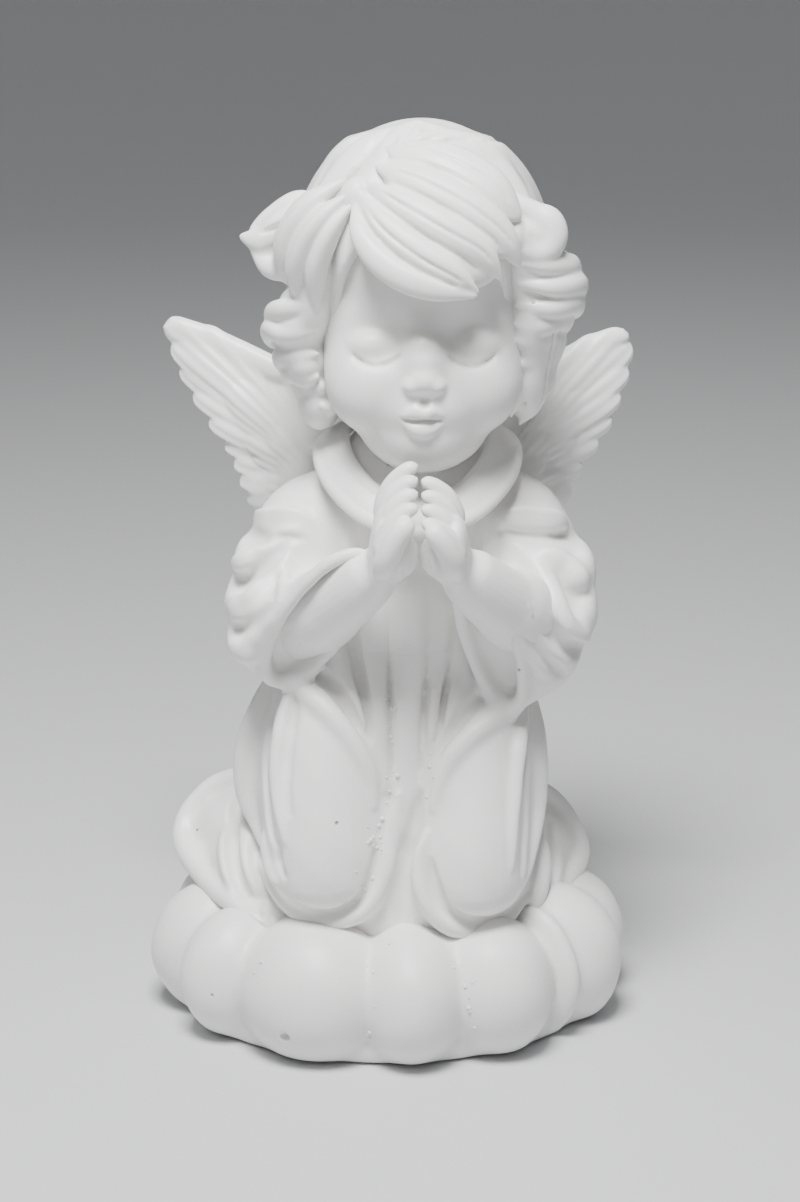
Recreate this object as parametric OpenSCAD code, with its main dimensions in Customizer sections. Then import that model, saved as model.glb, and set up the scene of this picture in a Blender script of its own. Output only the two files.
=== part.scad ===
// Kneeling cherub statuette on a cloud, cast in resin.
// The castings meet on pegs and sockets. Front faces -Y, +X is the viewer's right.
// Origin: middle of the footprint, on the plane that the statuette stands on.

/* [Statuette] */
// Height from the resting plane to the top of the hair
total_h = 120; // [118:1:123]
// Sideways offset of the torso from the middle of the base
body_x = 2.6; // [0:0.1:4]
// Sideways offset of the head from the middle of the base
head_x = 4.2; // [2:0.1:5]

/* [Cloud base] */
// Width of the ring of puffs, left to right
base_w = 67; // [64:1:70]
// Depth of the ring of puffs, front to back
base_d = 55; // [53:1:58]
// Radius of one puff
puff_r = 9.6; // [9.2:0.1:10]
// Number of puffs round the ring
puff_count = 12; // [11:1:13]
// Height of the floor of the pocket that the robe stands in
deck_h = 14; // [13:0.5:15]

/* [Robe] */
// Height of the seam between skirt and bodice
waist_h = 54; // [53:0.5:55]
// How far the two thighs stand out of the skirt
thigh_bulge = 3.8; // [2:0.2:4]
// Height of the top of the bodice, at the neck
neck_h = 75.5; // [75:0.1:76]

/* [Head] */
// Height of the middle of the head
head_h = 99; // [98:0.5:100]
// Half of the width of the skull
skull_r = 13.4; // [12.8:0.1:13.8]
// Thickness of the hair on the crown
hair_t = 3.4; // [3:0.1:3.6]
// Half of the angle that the cap of hair covers, from its middle
hair_angle = 100; // [96:1:104]

/* [Wings] */
// Length of the longest feather
feather_l = 29.5; // [27:0.5:31]
// Number of long feathers on a wing
feather_count = 7; // [6:1:8]

/* [Fits] */
// Gap all round a peg in its socket
peg_gap = 0.15; // [0.1:0.01:0.25]
// Radius of the peg under the skirt
skirt_peg_r = 8; // [7:0.5:9]
// Radius of the peg on the waist
waist_peg_r = 5; // [4.5:0.5:5.5]
// Radius of the peg under the neck
neck_peg_r = 3.5; // [3:0.1:3.8]
// Radius of the peg on a wing's root
wing_peg_r = 1.5; // [1.3:0.1:1.7]

/* [Hidden] */

$fn = 64;
CAST = "white";
PUFF_SIDES = 84;
PUFF_RINGS = 10;
SKIRT_SIDES = 54;
SKIRT_RINGS = 18;
BODICE_SIDES = 36;
BODICE_RINGS = 12;
HEAD_SIDES = 36;
HEAD_RINGS = 22;
CAP_SIDES = 32;
CAP_RINGS = 12;
BEAD_FN = 10;            // sides of the beads that locks, fingers and feathers are hulled from
SEAM = 0.12;             // glue line between neighbouring castings
FRONT = 270;             // direction of the front, as an angle round +Z
PEG_L = 5;
pocket_gap = 0.3;
puff_mid_h = 8.3;        // height of the widest line round the puffs

// ---------- shared geometry ----------

// Unit vector from an angle round +Z and an angle down from +Z
function polar_dir(az, down) = [sin(down) * cos(az), sin(down) * sin(az), cos(down)];

// Smooth hill, 1 in its middle, that fades over the given angle or length
function hill(offset, spread) = exp(-pow(offset / spread, 2));

// Smallest signed difference between two angles
function turn(a, b) = ((a - b + 540) % 360) - 180;

// Faces of a closed skin over rings of n points, with a cap at each end
function ring_faces(rings, n) = concat(
    [for (r = [0 : rings - 2]) for (i = [0 : n - 1])
        [r * n + i, (r + 1) * n + i, (r + 1) * n + (i + 1) % n, r * n + (i + 1) % n]],
    [[for (i = [0 : n - 1]) i]],
    [[for (i = [n - 1 : -1 : 0]) (rings - 1) * n + i]]);

// Point on a quadratic curve through a start, a control point and an end
function curve(a, b, c, t) = (1 - t) * (1 - t) * a + 2 * t * (1 - t) * b + t * t * c;

// Lock, finger or feather: beads along a curve, hulled pair by pair.
// size gives the three half-sizes at the start, middle and end.
module strand(a, b, c, size, turn_by = [0, 0, 0], steps = 4) {
    for (k = [0 : steps - 1])
        hull()
            for (t = [k / steps, (k + 1) / steps])
                translate(curve(a, b, c, t))
                    rotate(turn_by)
                        scale(curve(size[0], 2 * size[1] - (size[0] + size[2]) / 2, size[2], t))
                            sphere(1, $fn = BEAD_FN);
}

// Puts a shape made for the -X side on either side of the body
module on_side(side, middle_x) {
    translate([middle_x, 0, 0])
        mirror([side == "right" ? 1 : 0, 0, 0])
            children();
}

// ---------- cloud base ----------

// Size of the puff that direction az falls on: 1 in its middle, small in the crease
function puff_swell(az) =
    let (place = (az - FRONT) * puff_count / 360 + 0.37,
         across = 2 * (place - floor(place)) - 1,
         size = 1 + 0.05 * sin(floor(place) * 147))
    size * sqrt(1 - 0.62 * across * across);

// Skin of the ring of puffs, from the flat underside, out round the puffs and in over the top
module puff_ring() {
    points = concat(
        [for (k = [0 : PUFF_RINGS - 1]) for (i = [0 : PUFF_SIDES - 1])
            let (az = 360 * i / PUFF_SIDES,
                 roll = -90 + 180 * k / (PUFF_RINGS - 1),
                 swell = puff_swell(az),
                 ring_a = base_w / 2 - puff_r * 1.03,
                 ring_b = base_d / 2 - puff_r * 1.03,
                 ring = 1 / sqrt(pow(cos(az) / ring_a, 2) + pow(sin(az) / ring_b, 2)),
                 r = ring + puff_r * swell * cos(roll) - 1.2 * (1 - cos(roll)))
                [r * cos(az), r * sin(az), k == 0 ? 0 : max(0.05 * k, puff_mid_h + puff_r * swell * sin(roll))]],
        [for (i = [0 : PUFF_SIDES - 1])
            let (az = 360 * i / PUFF_SIDES)
                [6 * cos(az), 6 * sin(az), deck_h + 2]]);
    polyhedron(points, ring_faces(PUFF_RINGS + 1, PUFF_SIDES), convexity = 8);
}

// Outline of the robe where it stands on the cloud
function hem_outline(grow) = [for (k = [0 : SKIRT_SIDES - 1])
    let (az = 360 * k / SKIRT_SIDES, r = skirt_radius(az, 0.02) + grow)
        [body_x + r * cos(az), r * sin(az)]];

module cloud_base() {
    color(CAST)
    difference() {
        puff_ring();
        // pocket for the robe
        translate([0, 0, deck_h])
            linear_extrude(2 * puff_r)
                polygon(hem_outline(pocket_gap));
        // socket for the peg under the robe
        translate([body_x, 0, deck_h - PEG_L - peg_gap])
            cylinder(h = 2 * PEG_L, r = skirt_peg_r + peg_gap);
    }
}

// ---------- robe ----------

// Radius of the skirt in direction az, where t runs from 0 at the hem to 1 at the waist
function skirt_radius(az, t) =
    let (half_w = lookup(t, [[0, 25], [0.1, 26.5], [0.22, 22], [0.34, 19.5], [0.6, 17.5], [0.8, 15], [1, 12]]),
         front_d = lookup(t, [[0, 16.5], [0.12, 17.5], [0.3, 17], [0.6, 13.5], [1, 9.5]]),
         back_d = lookup(t, [[0, 19], [0.16, 19.5], [0.5, 15.5], [1, 9]]),
         depth = sin(az) < 0 ? front_d : back_d,
         oval = 1 / sqrt(pow(cos(az) / half_w, 2) + pow(sin(az) / depth, 2)),
         thighs = thigh_bulge * (hill(turn(az, FRONT - 30), 21) + hill(turn(az, FRONT + 30), 21))
                  * hill(t - 0.22, 0.45),
         pleat = 1.4 * hill(turn(az, FRONT), 6) * (0.4 + 0.6 * t),
         folds = 0.55 * sin(az * 9) * (1 - 0.7 * t) * max(0, sin(az) + 0.35))
    oval + thighs + pleat + folds;

module skirt_skin() {
    points = [for (k = [0 : SKIRT_RINGS - 1]) for (i = [0 : SKIRT_SIDES - 1])
        let (t = k / (SKIRT_RINGS - 1), az = 360 * i / SKIRT_SIDES, r = skirt_radius(az, t))
            [body_x + r * cos(az), r * sin(az), deck_h + SEAM + t * (waist_h - deck_h - SEAM)]];
    polyhedron(points, ring_faces(SKIRT_RINGS, SKIRT_SIDES), convexity = 6);
}

module robe_skirt() {
    color(CAST) {
        skirt_skin();
        translate([body_x, 0, deck_h - PEG_L])
            cylinder(h = PEG_L + 1, r = skirt_peg_r);
        translate([body_x, 0, waist_h - 1])
            cylinder(h = PEG_L + 1, r = waist_peg_r);
    }
}

// Half-sizes of the bodice at height h: width, depth in front, depth behind
function bodice_size(h) = [
    lookup(h, [[54, 11.4], [60, 12.4], [66, 13.4], [70, 12.2], [73, 9.2], [76, 6.2]]),
    lookup(h, [[54, 9.4], [62, 9.6], [68, 8.6], [76, 5.6]]),
    lookup(h, [[54, 8.9], [66, 9.4], [71, 8.2], [76, 5.6]])];

module bodice_skin(grow = 0) {
    points = [for (k = [0 : BODICE_RINGS - 1]) for (i = [0 : BODICE_SIDES - 1])
        let (h = waist_h + SEAM + (neck_h - waist_h - SEAM) * k / (BODICE_RINGS - 1),
             az = 360 * i / BODICE_SIDES,
             size = bodice_size(h),
             depth = sin(az) < 0 ? size[1] : size[2],
             r = grow + 1 / sqrt(pow(cos(az) / size[0], 2) + pow(sin(az) / depth, 2)))
            [body_x + (head_x - body_x) * k / (BODICE_RINGS - 1) * 0.5 + r * cos(az), r * sin(az), h]];
    polyhedron(points, ring_faces(BODICE_RINGS, BODICE_SIDES), convexity = 4);
}

neck_x = (head_x + body_x) / 2;
wing_root = [5.2, 6.4, 70.5];      // from the middle of the bodice, on either side

module robe_bodice() {
    color(CAST)
    difference() {
        bodice_skin();
        translate([body_x, 0, waist_h - 1])
            cylinder(h = PEG_L + 1 + peg_gap, r = waist_peg_r + peg_gap);
        translate([neck_x, 0, neck_h - PEG_L - peg_gap])
            cylinder(h = 2 * PEG_L, r = neck_peg_r + peg_gap);
        for (side = ["left", "right"])
            on_side(side, body_x)
                translate([-wing_root[0], wing_root[1] - 2, wing_root[2] - 4])
                    rotate([-90, 0, 0])
                        cylinder(h = 3 * PEG_L, r = wing_peg_r + peg_gap);
    }
}

module collar() {
    band_r = 6.6;
    color(CAST)
    translate([neck_x, -0.4, neck_h + 0.9])
        rotate([9, 0, 0])
            rotate_extrude()
                translate([band_r, 0])
                    union() {
                        circle(0.9);
                        polygon([[0, 0.9], [0, -0.9], [3.4, -2.6], [4, -1.9], [3.6, -1.1]]);
                    }
}

// ---------- sleeves and hands ----------

SHOULDER = [-11.6, 0.6, 66];
ELBOW = [-19.5, -1, 54];
CUFF = [-9.6, -12.8, 58.3];
CUFF_SIZE = [5.6, 5.8, 12.6];
CUFF_TURN = [12, 38, 0];

module sleeve_form() {
    difference() {
        strand(SHOULDER, ELBOW, CUFF, [[6.6, 6.8, 6.8], [6.2, 6.8, 9], CUFF_SIZE], CUFF_TURN, 9);
        // hollow of the bell round the forearm
        translate(CUFF + [3.4, -4.6, -1.2])
            rotate(CUFF_TURN)
                scale(CUFF_SIZE - [0.6, 0.8, 1.4])
                    sphere(1, $fn = BEAD_FN * 2);
        arm_form(SEAM);
    }
}

module sleeve(side) {
    difference() {
        on_side(side, body_x)
            sleeve_form();
        bodice_skin(SEAM);
        skirt_skin();
    }
}

module sleeve_left() { color(CAST) sleeve("left"); }

module sleeve_right() { color(CAST) sleeve("right"); }

WRIST = [-2.6, -18.4, 64.6];
PALM = [-2.2, -20.4, 70.5];
hand_mid_x = 4.2;

// Forearm, grown by a gap for the sleeve's own hollow
module arm_form(grow = 0) {
    strand([-9.4, -10.2, 57.6], [-6, -14.6, 60], WRIST,
           [[3.4, 3.4, 3.6], [3.3, 3.3, 3.5], [2.6, 2.8, 3]] + grow * [[1, 1, 1], [1, 1, 1], [1, 1, 1]],
           [0, 0, 0], 4);
}

module hand_form() {
    arm_form();
    strand(WRIST, (WRIST + PALM) / 2, PALM, [[2.5, 3, 3], [2.7, 3.8, 3.2], [2.6, 4.2, 2.8]], [0, 0, 0], 3);
    for (k = [0 : 3])
        let (reach = 7.6 + 1.4 * sin(60 * k + 30), root = PALM + [-0.2, -3.2 + 2.1 * k, 0.6])
            strand(root, root + [-1.2, -0.5, 4.2], root + [1, 0.6, reach],
                   [[1.7, 1.25, 1.6], [1.7, 1.2, 1.6], [1.2, 1, 1.2]], [0, 0, 0], 3);
    // thumb folded over the front
    strand(WRIST + [0.2, -3.8, 2.4], WRIST + [0, -6.2, 4.8], WRIST + [2, -6.2, 7.6],
           [[1.6, 1.6, 1.8], [1.5, 1.4, 1.6], [1.1, 1.1, 1.2]], [0, 0, 0], 3);
}

module hand(side) {
    difference() {
        on_side(side, hand_mid_x)
            hand_form();
        // the palms meet on one flat plane
        translate([side == "left" ? hand_mid_x - SEAM / 2 : hand_mid_x + SEAM / 2 - 40, -40, 40])
            cube([40, 60, 60]);
    }
}

module hand_left() { color(CAST) hand("left"); }

module hand_right() { color(CAST) hand("right"); }

// ---------- head and hair ----------

HEAD_AT = [head_x, -1.6, head_h];
skull_up = total_h - hair_t - head_h;
skull_down = 20.2;
skull_front = 12.6;
skull_back = 13.2;
cap_lean = 35;          // the middle of the cap of hair leans this far back

// Distance from the middle of the head to the skin, in direction d
function skull_radius(d) =
    let (az = atan2(d[1], d[0]), up = asin(d[2]),
         depth = d[1] < 0 ? skull_front : skull_back,
         tall = d[2] < 0 ? skull_down : skull_up,
         oval = 1 / sqrt(pow(d[0] / skull_r, 2) + pow(d[1] / depth, 2) + pow(d[2] / tall, 2)),
         off = turn(az, FRONT),
         cheeks = 1.9 * (hill(off - 42, 26) + hill(off + 42, 26)) * hill(up + 38, 20),
         nose = 1.9 * hill(off, 8) * hill(up + 35, 7),
         lids = 0.5 * (hill(off - 24, 10) + hill(off + 24, 10)) * hill(up + 20, 6),
         lips = 0.9 * hill(off, 14) * hill(up + 50, 6),
         chin = 0.9 * hill(off, 24) * hill(up + 66, 12))
    oval + cheeks + nose + lids + lips + chin;

module head() {
    points = [for (k = [1 : HEAD_RINGS]) for (i = [0 : HEAD_SIDES - 1])
        let (d = polar_dir(360 * i / HEAD_SIDES, 180 * (1 - k / (HEAD_RINGS + 1))))
            HEAD_AT + d * skull_radius(d)];
    color(CAST) {
        polyhedron(points, ring_faces(HEAD_RINGS, HEAD_SIDES), convexity = 6);
        // neck and its peg
        translate([neck_x, 0, neck_h + SEAM])
            cylinder(h = 8, r = 5.2);
        translate([neck_x, 0, neck_h - PEG_L])
            cylinder(h = PEG_L + 1, r = neck_peg_r);
    }
}

// Direction on the cap of hair: az round its own leaning axis, down from that axis
function cap_dir(az, down) =
    let (d = polar_dir(az, down))
        [d[0], d[1] * cos(cap_lean) + d[2] * sin(cap_lean), d[2] * cos(cap_lean) - d[1] * sin(cap_lean)];

function cap_thickness(az, down) =
    hair_t + 0.35 * sin(az * 7) * sin(down) - 1.9 * hill(down - hair_angle, 14);

// Closed shell between the skull and the outside of the hair
module cap_shell() {
    inner = [for (k = [1 : CAP_RINGS]) for (i = [0 : CAP_SIDES - 1])
        let (d = cap_dir(360 * i / CAP_SIDES, hair_angle * k / CAP_RINGS))
            HEAD_AT + d * (skull_radius(d) + SEAM)];
    outer = [for (k = [CAP_RINGS : -1 : 1]) for (i = [0 : CAP_SIDES - 1])
        let (az = 360 * i / CAP_SIDES, down = hair_angle * k / CAP_RINGS, d = cap_dir(az, down))
            HEAD_AT + d * (skull_radius(d) + cap_thickness(az, down))];
    polyhedron(concat(inner, outer), ring_faces(2 * CAP_RINGS, CAP_SIDES), convexity = 6);
}

module hair_cap() { color(CAST) cap_shell(); }

// Everything inside the outside of the hair, to trim the locks that lie on it
module hair_core() {
    points = [for (k = [CAP_RINGS * 2 : -1 : 1]) for (i = [0 : CAP_SIDES - 1])
        let (down = 180 * k / (CAP_RINGS * 2 + 1), az = 360 * i / CAP_SIDES, d = cap_dir(az, down),
             t = down > hair_angle ? SEAM * 2 : cap_thickness(az, down) + SEAM)
            HEAD_AT + d * (skull_radius(d) + t)];
    polyhedron(points, ring_faces(CAP_RINGS * 2, CAP_SIDES), convexity = 6);
}

module hair_fringe() {
    parting = [-1.6, -11.4, 114];
    color(CAST)
    difference() {
        for (k = [0 : 3])
            strand(parting + [0.9 * k, 0.4 * k, 0.9 * k],
                   parting + [4.6 + 1.4 * k, -7 + 0.9 * k, -6.5 + 2.6 * k],
                   [head_x + 6.6 + 1.9 * k, -14.6 + 1.2 * k, 101.8 + 2.2 * k],
                   [[3, 2.6, 3], [3.4, 2.8, 3.6], [1, 1, 1.1]], [0, 0, 0], 4);
        hair_core();
    }
}

// One curl that springs from the hair at height h and ends in a rounded tip
module curl(at, out, drop, r) {
    strand(at, at + [-out, -1.5, -drop * 0.3], at + [-out * 0.7, -3, -drop],
           [[r, r, r], [r * 0.95, r, r * 1.05], [r * 0.55, r * 0.6, r * 0.6]], [0, 0, 0], 4);
}

module hair_curls_left() {
    color(CAST)
    difference() {
        translate([head_x, 0, 0]) {
            for (k = [0 : 4])
                curl([-13.4 - 0.5 * sin(90 * k), -6 + 3.4 * (k % 2), 111 - 5.4 * k], 3.2, 8, 4.1 - 0.2 * k);
            // flick that stands out from the side
            strand([-15, -2, 110], [-19, -2, 104], [-22.4, -1, 106.4],
                   [[3, 3, 3], [2.6, 2.6, 2.7], [1, 1, 1.1]], [0, 0, 0], 4);
        }
        hair_core();
    }
}

module hair_curls_right() {
    knob = [14.6, -8, 107.6];
    knob_r = 2.3;
    color(CAST)
    difference() {
        translate([head_x, 0, 0]) {
            for (k = [0 : 4])
                mirror([1, 0, 0])
                    curl([-13.8 - 1.4 * sin(50 * k), -6 + 3.2 * (k % 2), 108.4 - 4.9 * k], 4.4, 7.6, 4.2 - 0.2 * k);
            // round knob curl
            for (a = [0 : 60 : 300])
                strand(knob + knob_r * [cos(a), 0, sin(a)],
                       knob + 1.15 * knob_r * [cos(a + 30), -0.3, sin(a + 30)],
                       knob + knob_r * [cos(a + 60), 0, sin(a + 60)],
                       [[1.6, 2, 1.6], [1.6, 2, 1.6], [1.6, 2, 1.6]], [0, 0, 0], 1);
        }
        hair_core();
    }
}

// ---------- wings ----------

// Tip of the long feather number k, from the root of the wing
function feather_tip(k) =
    let (f = k / (feather_count - 1), az = 136 + 52 * f, len = feather_l * (1 - 0.6 * f))
        [len * cos(az), 8.5 - 6 * f, len * sin(az)];

module wing_form() {
    blade = [1.5, 0.9, 1.6];
    for (k = [0 : feather_count - 1])
        let (tip = feather_tip(k))
            strand([0, 0, 0], tip * 0.55 + [0, 0.8, 1.2], tip,
                   [[2.2, 1.4, 2.2], [2.9 - 0.1 * k, 1, 2.9 - 0.1 * k], blade], [0, 0, 0], 3);
    // short feathers laid over the roots of the long ones
    for (k = [0 : 4])
        let (tip = feather_tip(k * 1.3) * 0.52)
            strand([-1, -0.4, 0.5], tip * 0.6 + [0, -1.4, 0.8], tip + [0, -1, 0],
                   [[1.8, 1.2, 1.8], [2.4, 1, 2.4], [1.3, 0.8, 1.3]], [0, 0, 0], 2);
    // root peg
    translate([0, -4, 0])
        rotate([-90, 0, 0])
            cylinder(h = 5, r = wing_peg_r, $fn = 24);
}

module wing(side) {
    difference() {
        on_side(side, body_x)
            translate([-wing_root[0], wing_root[1] + 3.4, wing_root[2] - 4])
                wing_form();
        // the wing lies against the back of the bodice; only its peg goes in
        difference() {
            bodice_skin(SEAM);
            for (at = ["left", "right"])
                on_side(at, body_x)
                    translate([-wing_root[0], -2, wing_root[2] - 4])
                        rotate([-90, 0, 0])
                            cylinder(h = 20, r = wing_peg_r + peg_gap, $fn = 24);
        }
    }
}

module wing_left() { color(CAST) wing("left"); }

module wing_right() { color(CAST) wing("right"); }

cloud_base();
robe_skirt();
robe_bodice();
collar();
sleeve_left();
sleeve_right();
hand_left();
hand_right();
head();
hair_cap();
hair_fringe();
hair_curls_left();
hair_curls_right();
wing_left();
wing_right();
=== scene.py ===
"""Looks of the kneeling cherub statuette: every casting is modelled in clay-like distance fields."""

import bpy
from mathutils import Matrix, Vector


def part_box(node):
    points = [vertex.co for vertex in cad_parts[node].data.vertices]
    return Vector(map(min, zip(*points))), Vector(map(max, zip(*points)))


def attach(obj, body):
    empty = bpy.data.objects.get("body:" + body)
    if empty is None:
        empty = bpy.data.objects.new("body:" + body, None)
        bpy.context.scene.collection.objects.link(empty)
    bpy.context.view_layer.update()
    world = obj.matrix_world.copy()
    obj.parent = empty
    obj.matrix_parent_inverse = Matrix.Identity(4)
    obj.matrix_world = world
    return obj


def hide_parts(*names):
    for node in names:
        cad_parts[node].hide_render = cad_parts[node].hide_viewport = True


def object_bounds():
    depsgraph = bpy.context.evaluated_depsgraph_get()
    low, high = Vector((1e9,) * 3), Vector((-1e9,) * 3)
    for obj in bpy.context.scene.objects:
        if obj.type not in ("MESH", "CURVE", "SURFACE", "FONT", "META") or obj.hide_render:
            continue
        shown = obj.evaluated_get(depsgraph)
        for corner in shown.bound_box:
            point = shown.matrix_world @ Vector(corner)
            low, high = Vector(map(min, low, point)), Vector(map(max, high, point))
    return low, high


bl_info = {
    "name": "Cherub Statuette",
    "version": (1, 0, 0),
    "blender": (4, 5, 0),
    "location": "View3D > Sidebar > Statuette",
    "description": "Models the castings of a kneeling resin cherub and sets up its studio",
    "category": "Object",
}

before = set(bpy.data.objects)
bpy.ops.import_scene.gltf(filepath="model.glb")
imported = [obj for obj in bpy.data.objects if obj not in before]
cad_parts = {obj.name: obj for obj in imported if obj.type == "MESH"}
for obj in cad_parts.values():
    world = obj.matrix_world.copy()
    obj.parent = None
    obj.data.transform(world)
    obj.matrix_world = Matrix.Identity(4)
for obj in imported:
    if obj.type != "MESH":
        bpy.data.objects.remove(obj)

import math

import bpy
import numpy as np
import openvdb
from bpy.props import FloatProperty, FloatVectorProperty, PointerProperty
from mathutils import Vector

MM = 0.001                      # clay is worked in millimetres, Blender in metres
FAR = 6.0                       # distance that stands for empty clay, in mm
NEAR = 0.6                      # how far from a small strand its distances are worked out, in mm
THIN = 0.0016                   # square of the least swelling at a strand's tip
SIGHT = 70.0                    # half the length of the ray that looks for the clay's surface, in mm
CRUMB = 0.04                    # share of the largest shell's points below which a shell is dropped
SOFTEN = (0.5, -0.52)           # smoothing and its counter-step, which keeps the form from shrinking
COARSE = 1.0
FRONT = (0, 1, 0)               # looking along +Y at the front
BACK = (0, -1, 0)
CAD_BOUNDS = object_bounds()


def box_mm(node):
    """Lowest and highest corner of a casting's space, in mm."""
    low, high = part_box(node)
    return np.array(low) / MM, np.array(high) / MM


# ---------------------------------------------------------------- curves and skins

def unit(v):
    """Rows scaled to length 1."""
    v = np.asarray(v, float)
    return v / np.maximum(np.linalg.norm(v, axis=-1, keepdims=True), 1e-9)


def spline(points, count, closed=False):
    """Smooth curve through the points, as count rows."""
    p = np.asarray(points, float)
    if closed:
        p = np.vstack([p[-1:], p, p[:2]])
        spans = len(p) - 3
    else:
        p = np.vstack([2 * p[:1] - p[1:2], p, 2 * p[-1:] - p[-2:-1]])
        spans = len(p) - 3
    at = np.linspace(0, spans, count, endpoint=not closed)
    k = np.minimum(at.astype(int), spans - 1)
    t = (at - k)[:, None]
    a, b, c, d = p[k], p[k + 1], p[k + 2], p[k + 3]
    return 0.5 * (2 * b + (c - a) * t + (2 * a - 5 * b + 4 * c - d) * t ** 2
                  + (3 * b - a - 3 * c + d) * t ** 3)


def front_points(pairs):
    """Points of a curve drawn in the front view as (x, z)."""
    return [(x, 0, z) for x, z in pairs]


def tips(count, start, end):
    """Swelling along a strand: start and end are how long each rounded tip is, as a fraction."""
    t = np.linspace(0, 1, count)
    first = np.sqrt(np.clip(1 - (1 - np.minimum(t / max(start, 1e-6), 1)) ** 2, THIN, 1))
    last = np.sqrt(np.clip(1 - (1 - np.minimum((1 - t) / max(end, 1e-6), 1)) ** 2, THIN, 1))
    return first * last


def rings_along(path, wide, high, up, sides=20, ridges=0, ridge_depth=0.0, closed=False):
    """Rings round a path. up points out of the broad face; ridges run along the strand."""
    path = np.asarray(path, float)
    count = len(path)
    if closed:
        tangent = unit(np.roll(path, -1, 0) - np.roll(path, 1, 0))
    else:
        tangent = unit(np.gradient(path, axis=0))
    up = np.broadcast_to(np.asarray(up, float), path.shape)
    up = unit(up - (up * tangent).sum(1, keepdims=True) * tangent)
    side = np.cross(tangent, up)
    a = np.linspace(0, 2 * math.pi, sides, endpoint=False)
    r = 1 + ridge_depth * np.cos(ridges * a) * (0.5 + 0.5 * np.tanh(3 * np.sin(a)))
    wide = np.broadcast_to(np.asarray(wide, float), (count,))[:, None, None]
    high = np.broadcast_to(np.asarray(high, float), (count,))[:, None, None]
    across = (np.cos(a) * r)[None, :, None]
    out = (np.sin(a) * r)[None, :, None]
    return path[:, None] + side[:, None] * wide * across + up[:, None] * high * out


def skin(rings, closed=False):
    """Points, quads and end triangles of the closed skin over a stack of rings."""
    m, n = rings.shape[:2]
    i = np.arange(m if closed else m - 1)[:, None] * n
    j = np.arange(n)[None, :]
    i2 = (np.arange(m if closed else m - 1)[:, None] + 1) % m * n
    quads = np.stack([i + j, i2 + j, i2 + (j + 1) % n, i + (j + 1) % n], -1).reshape(-1, 4)
    points = rings.reshape(-1, 3)
    if closed:
        return points, quads, np.zeros((0, 3), int)
    ends = np.vstack([rings[0].mean(0), rings[-1].mean(0)])
    k = np.arange(n)
    first = np.stack([np.full(n, m * n), k, (k + 1) % n], -1)
    last = np.stack([np.full(n, m * n + 1), (m - 1) * n + (k + 1) % n, (m - 1) * n + k], -1)
    return np.vstack([points, ends]), quads, np.vstack([first, last])


def melt(a, b, blend):
    """Union of two distance fields, with a fillet of about blend millimetres."""
    if blend <= 0:
        return np.minimum(a, b)
    h = np.maximum(blend - np.abs(a - b), 0) / blend
    return np.minimum(a, b) - h * h * blend * 0.25


def turned(yaw=0.0, pitch=0.0, roll=0.0):
    """Turning matrix, in degrees: roll round Y, then pitch round X, then yaw round Z."""
    cz, sz = math.cos(math.radians(yaw)), math.sin(math.radians(yaw))
    cx, sx = math.cos(math.radians(pitch)), math.sin(math.radians(pitch))
    cy, sy = math.cos(math.radians(roll)), math.sin(math.radians(roll))
    rz = np.array([[cz, -sz, 0], [sz, cz, 0], [0, 0, 1]])
    rx = np.array([[1, 0, 0], [0, cx, -sx], [0, sx, cx]])
    ry = np.array([[cy, 0, sy], [0, 1, 0], [-sy, 0, cy]])
    return rz @ rx @ ry


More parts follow.
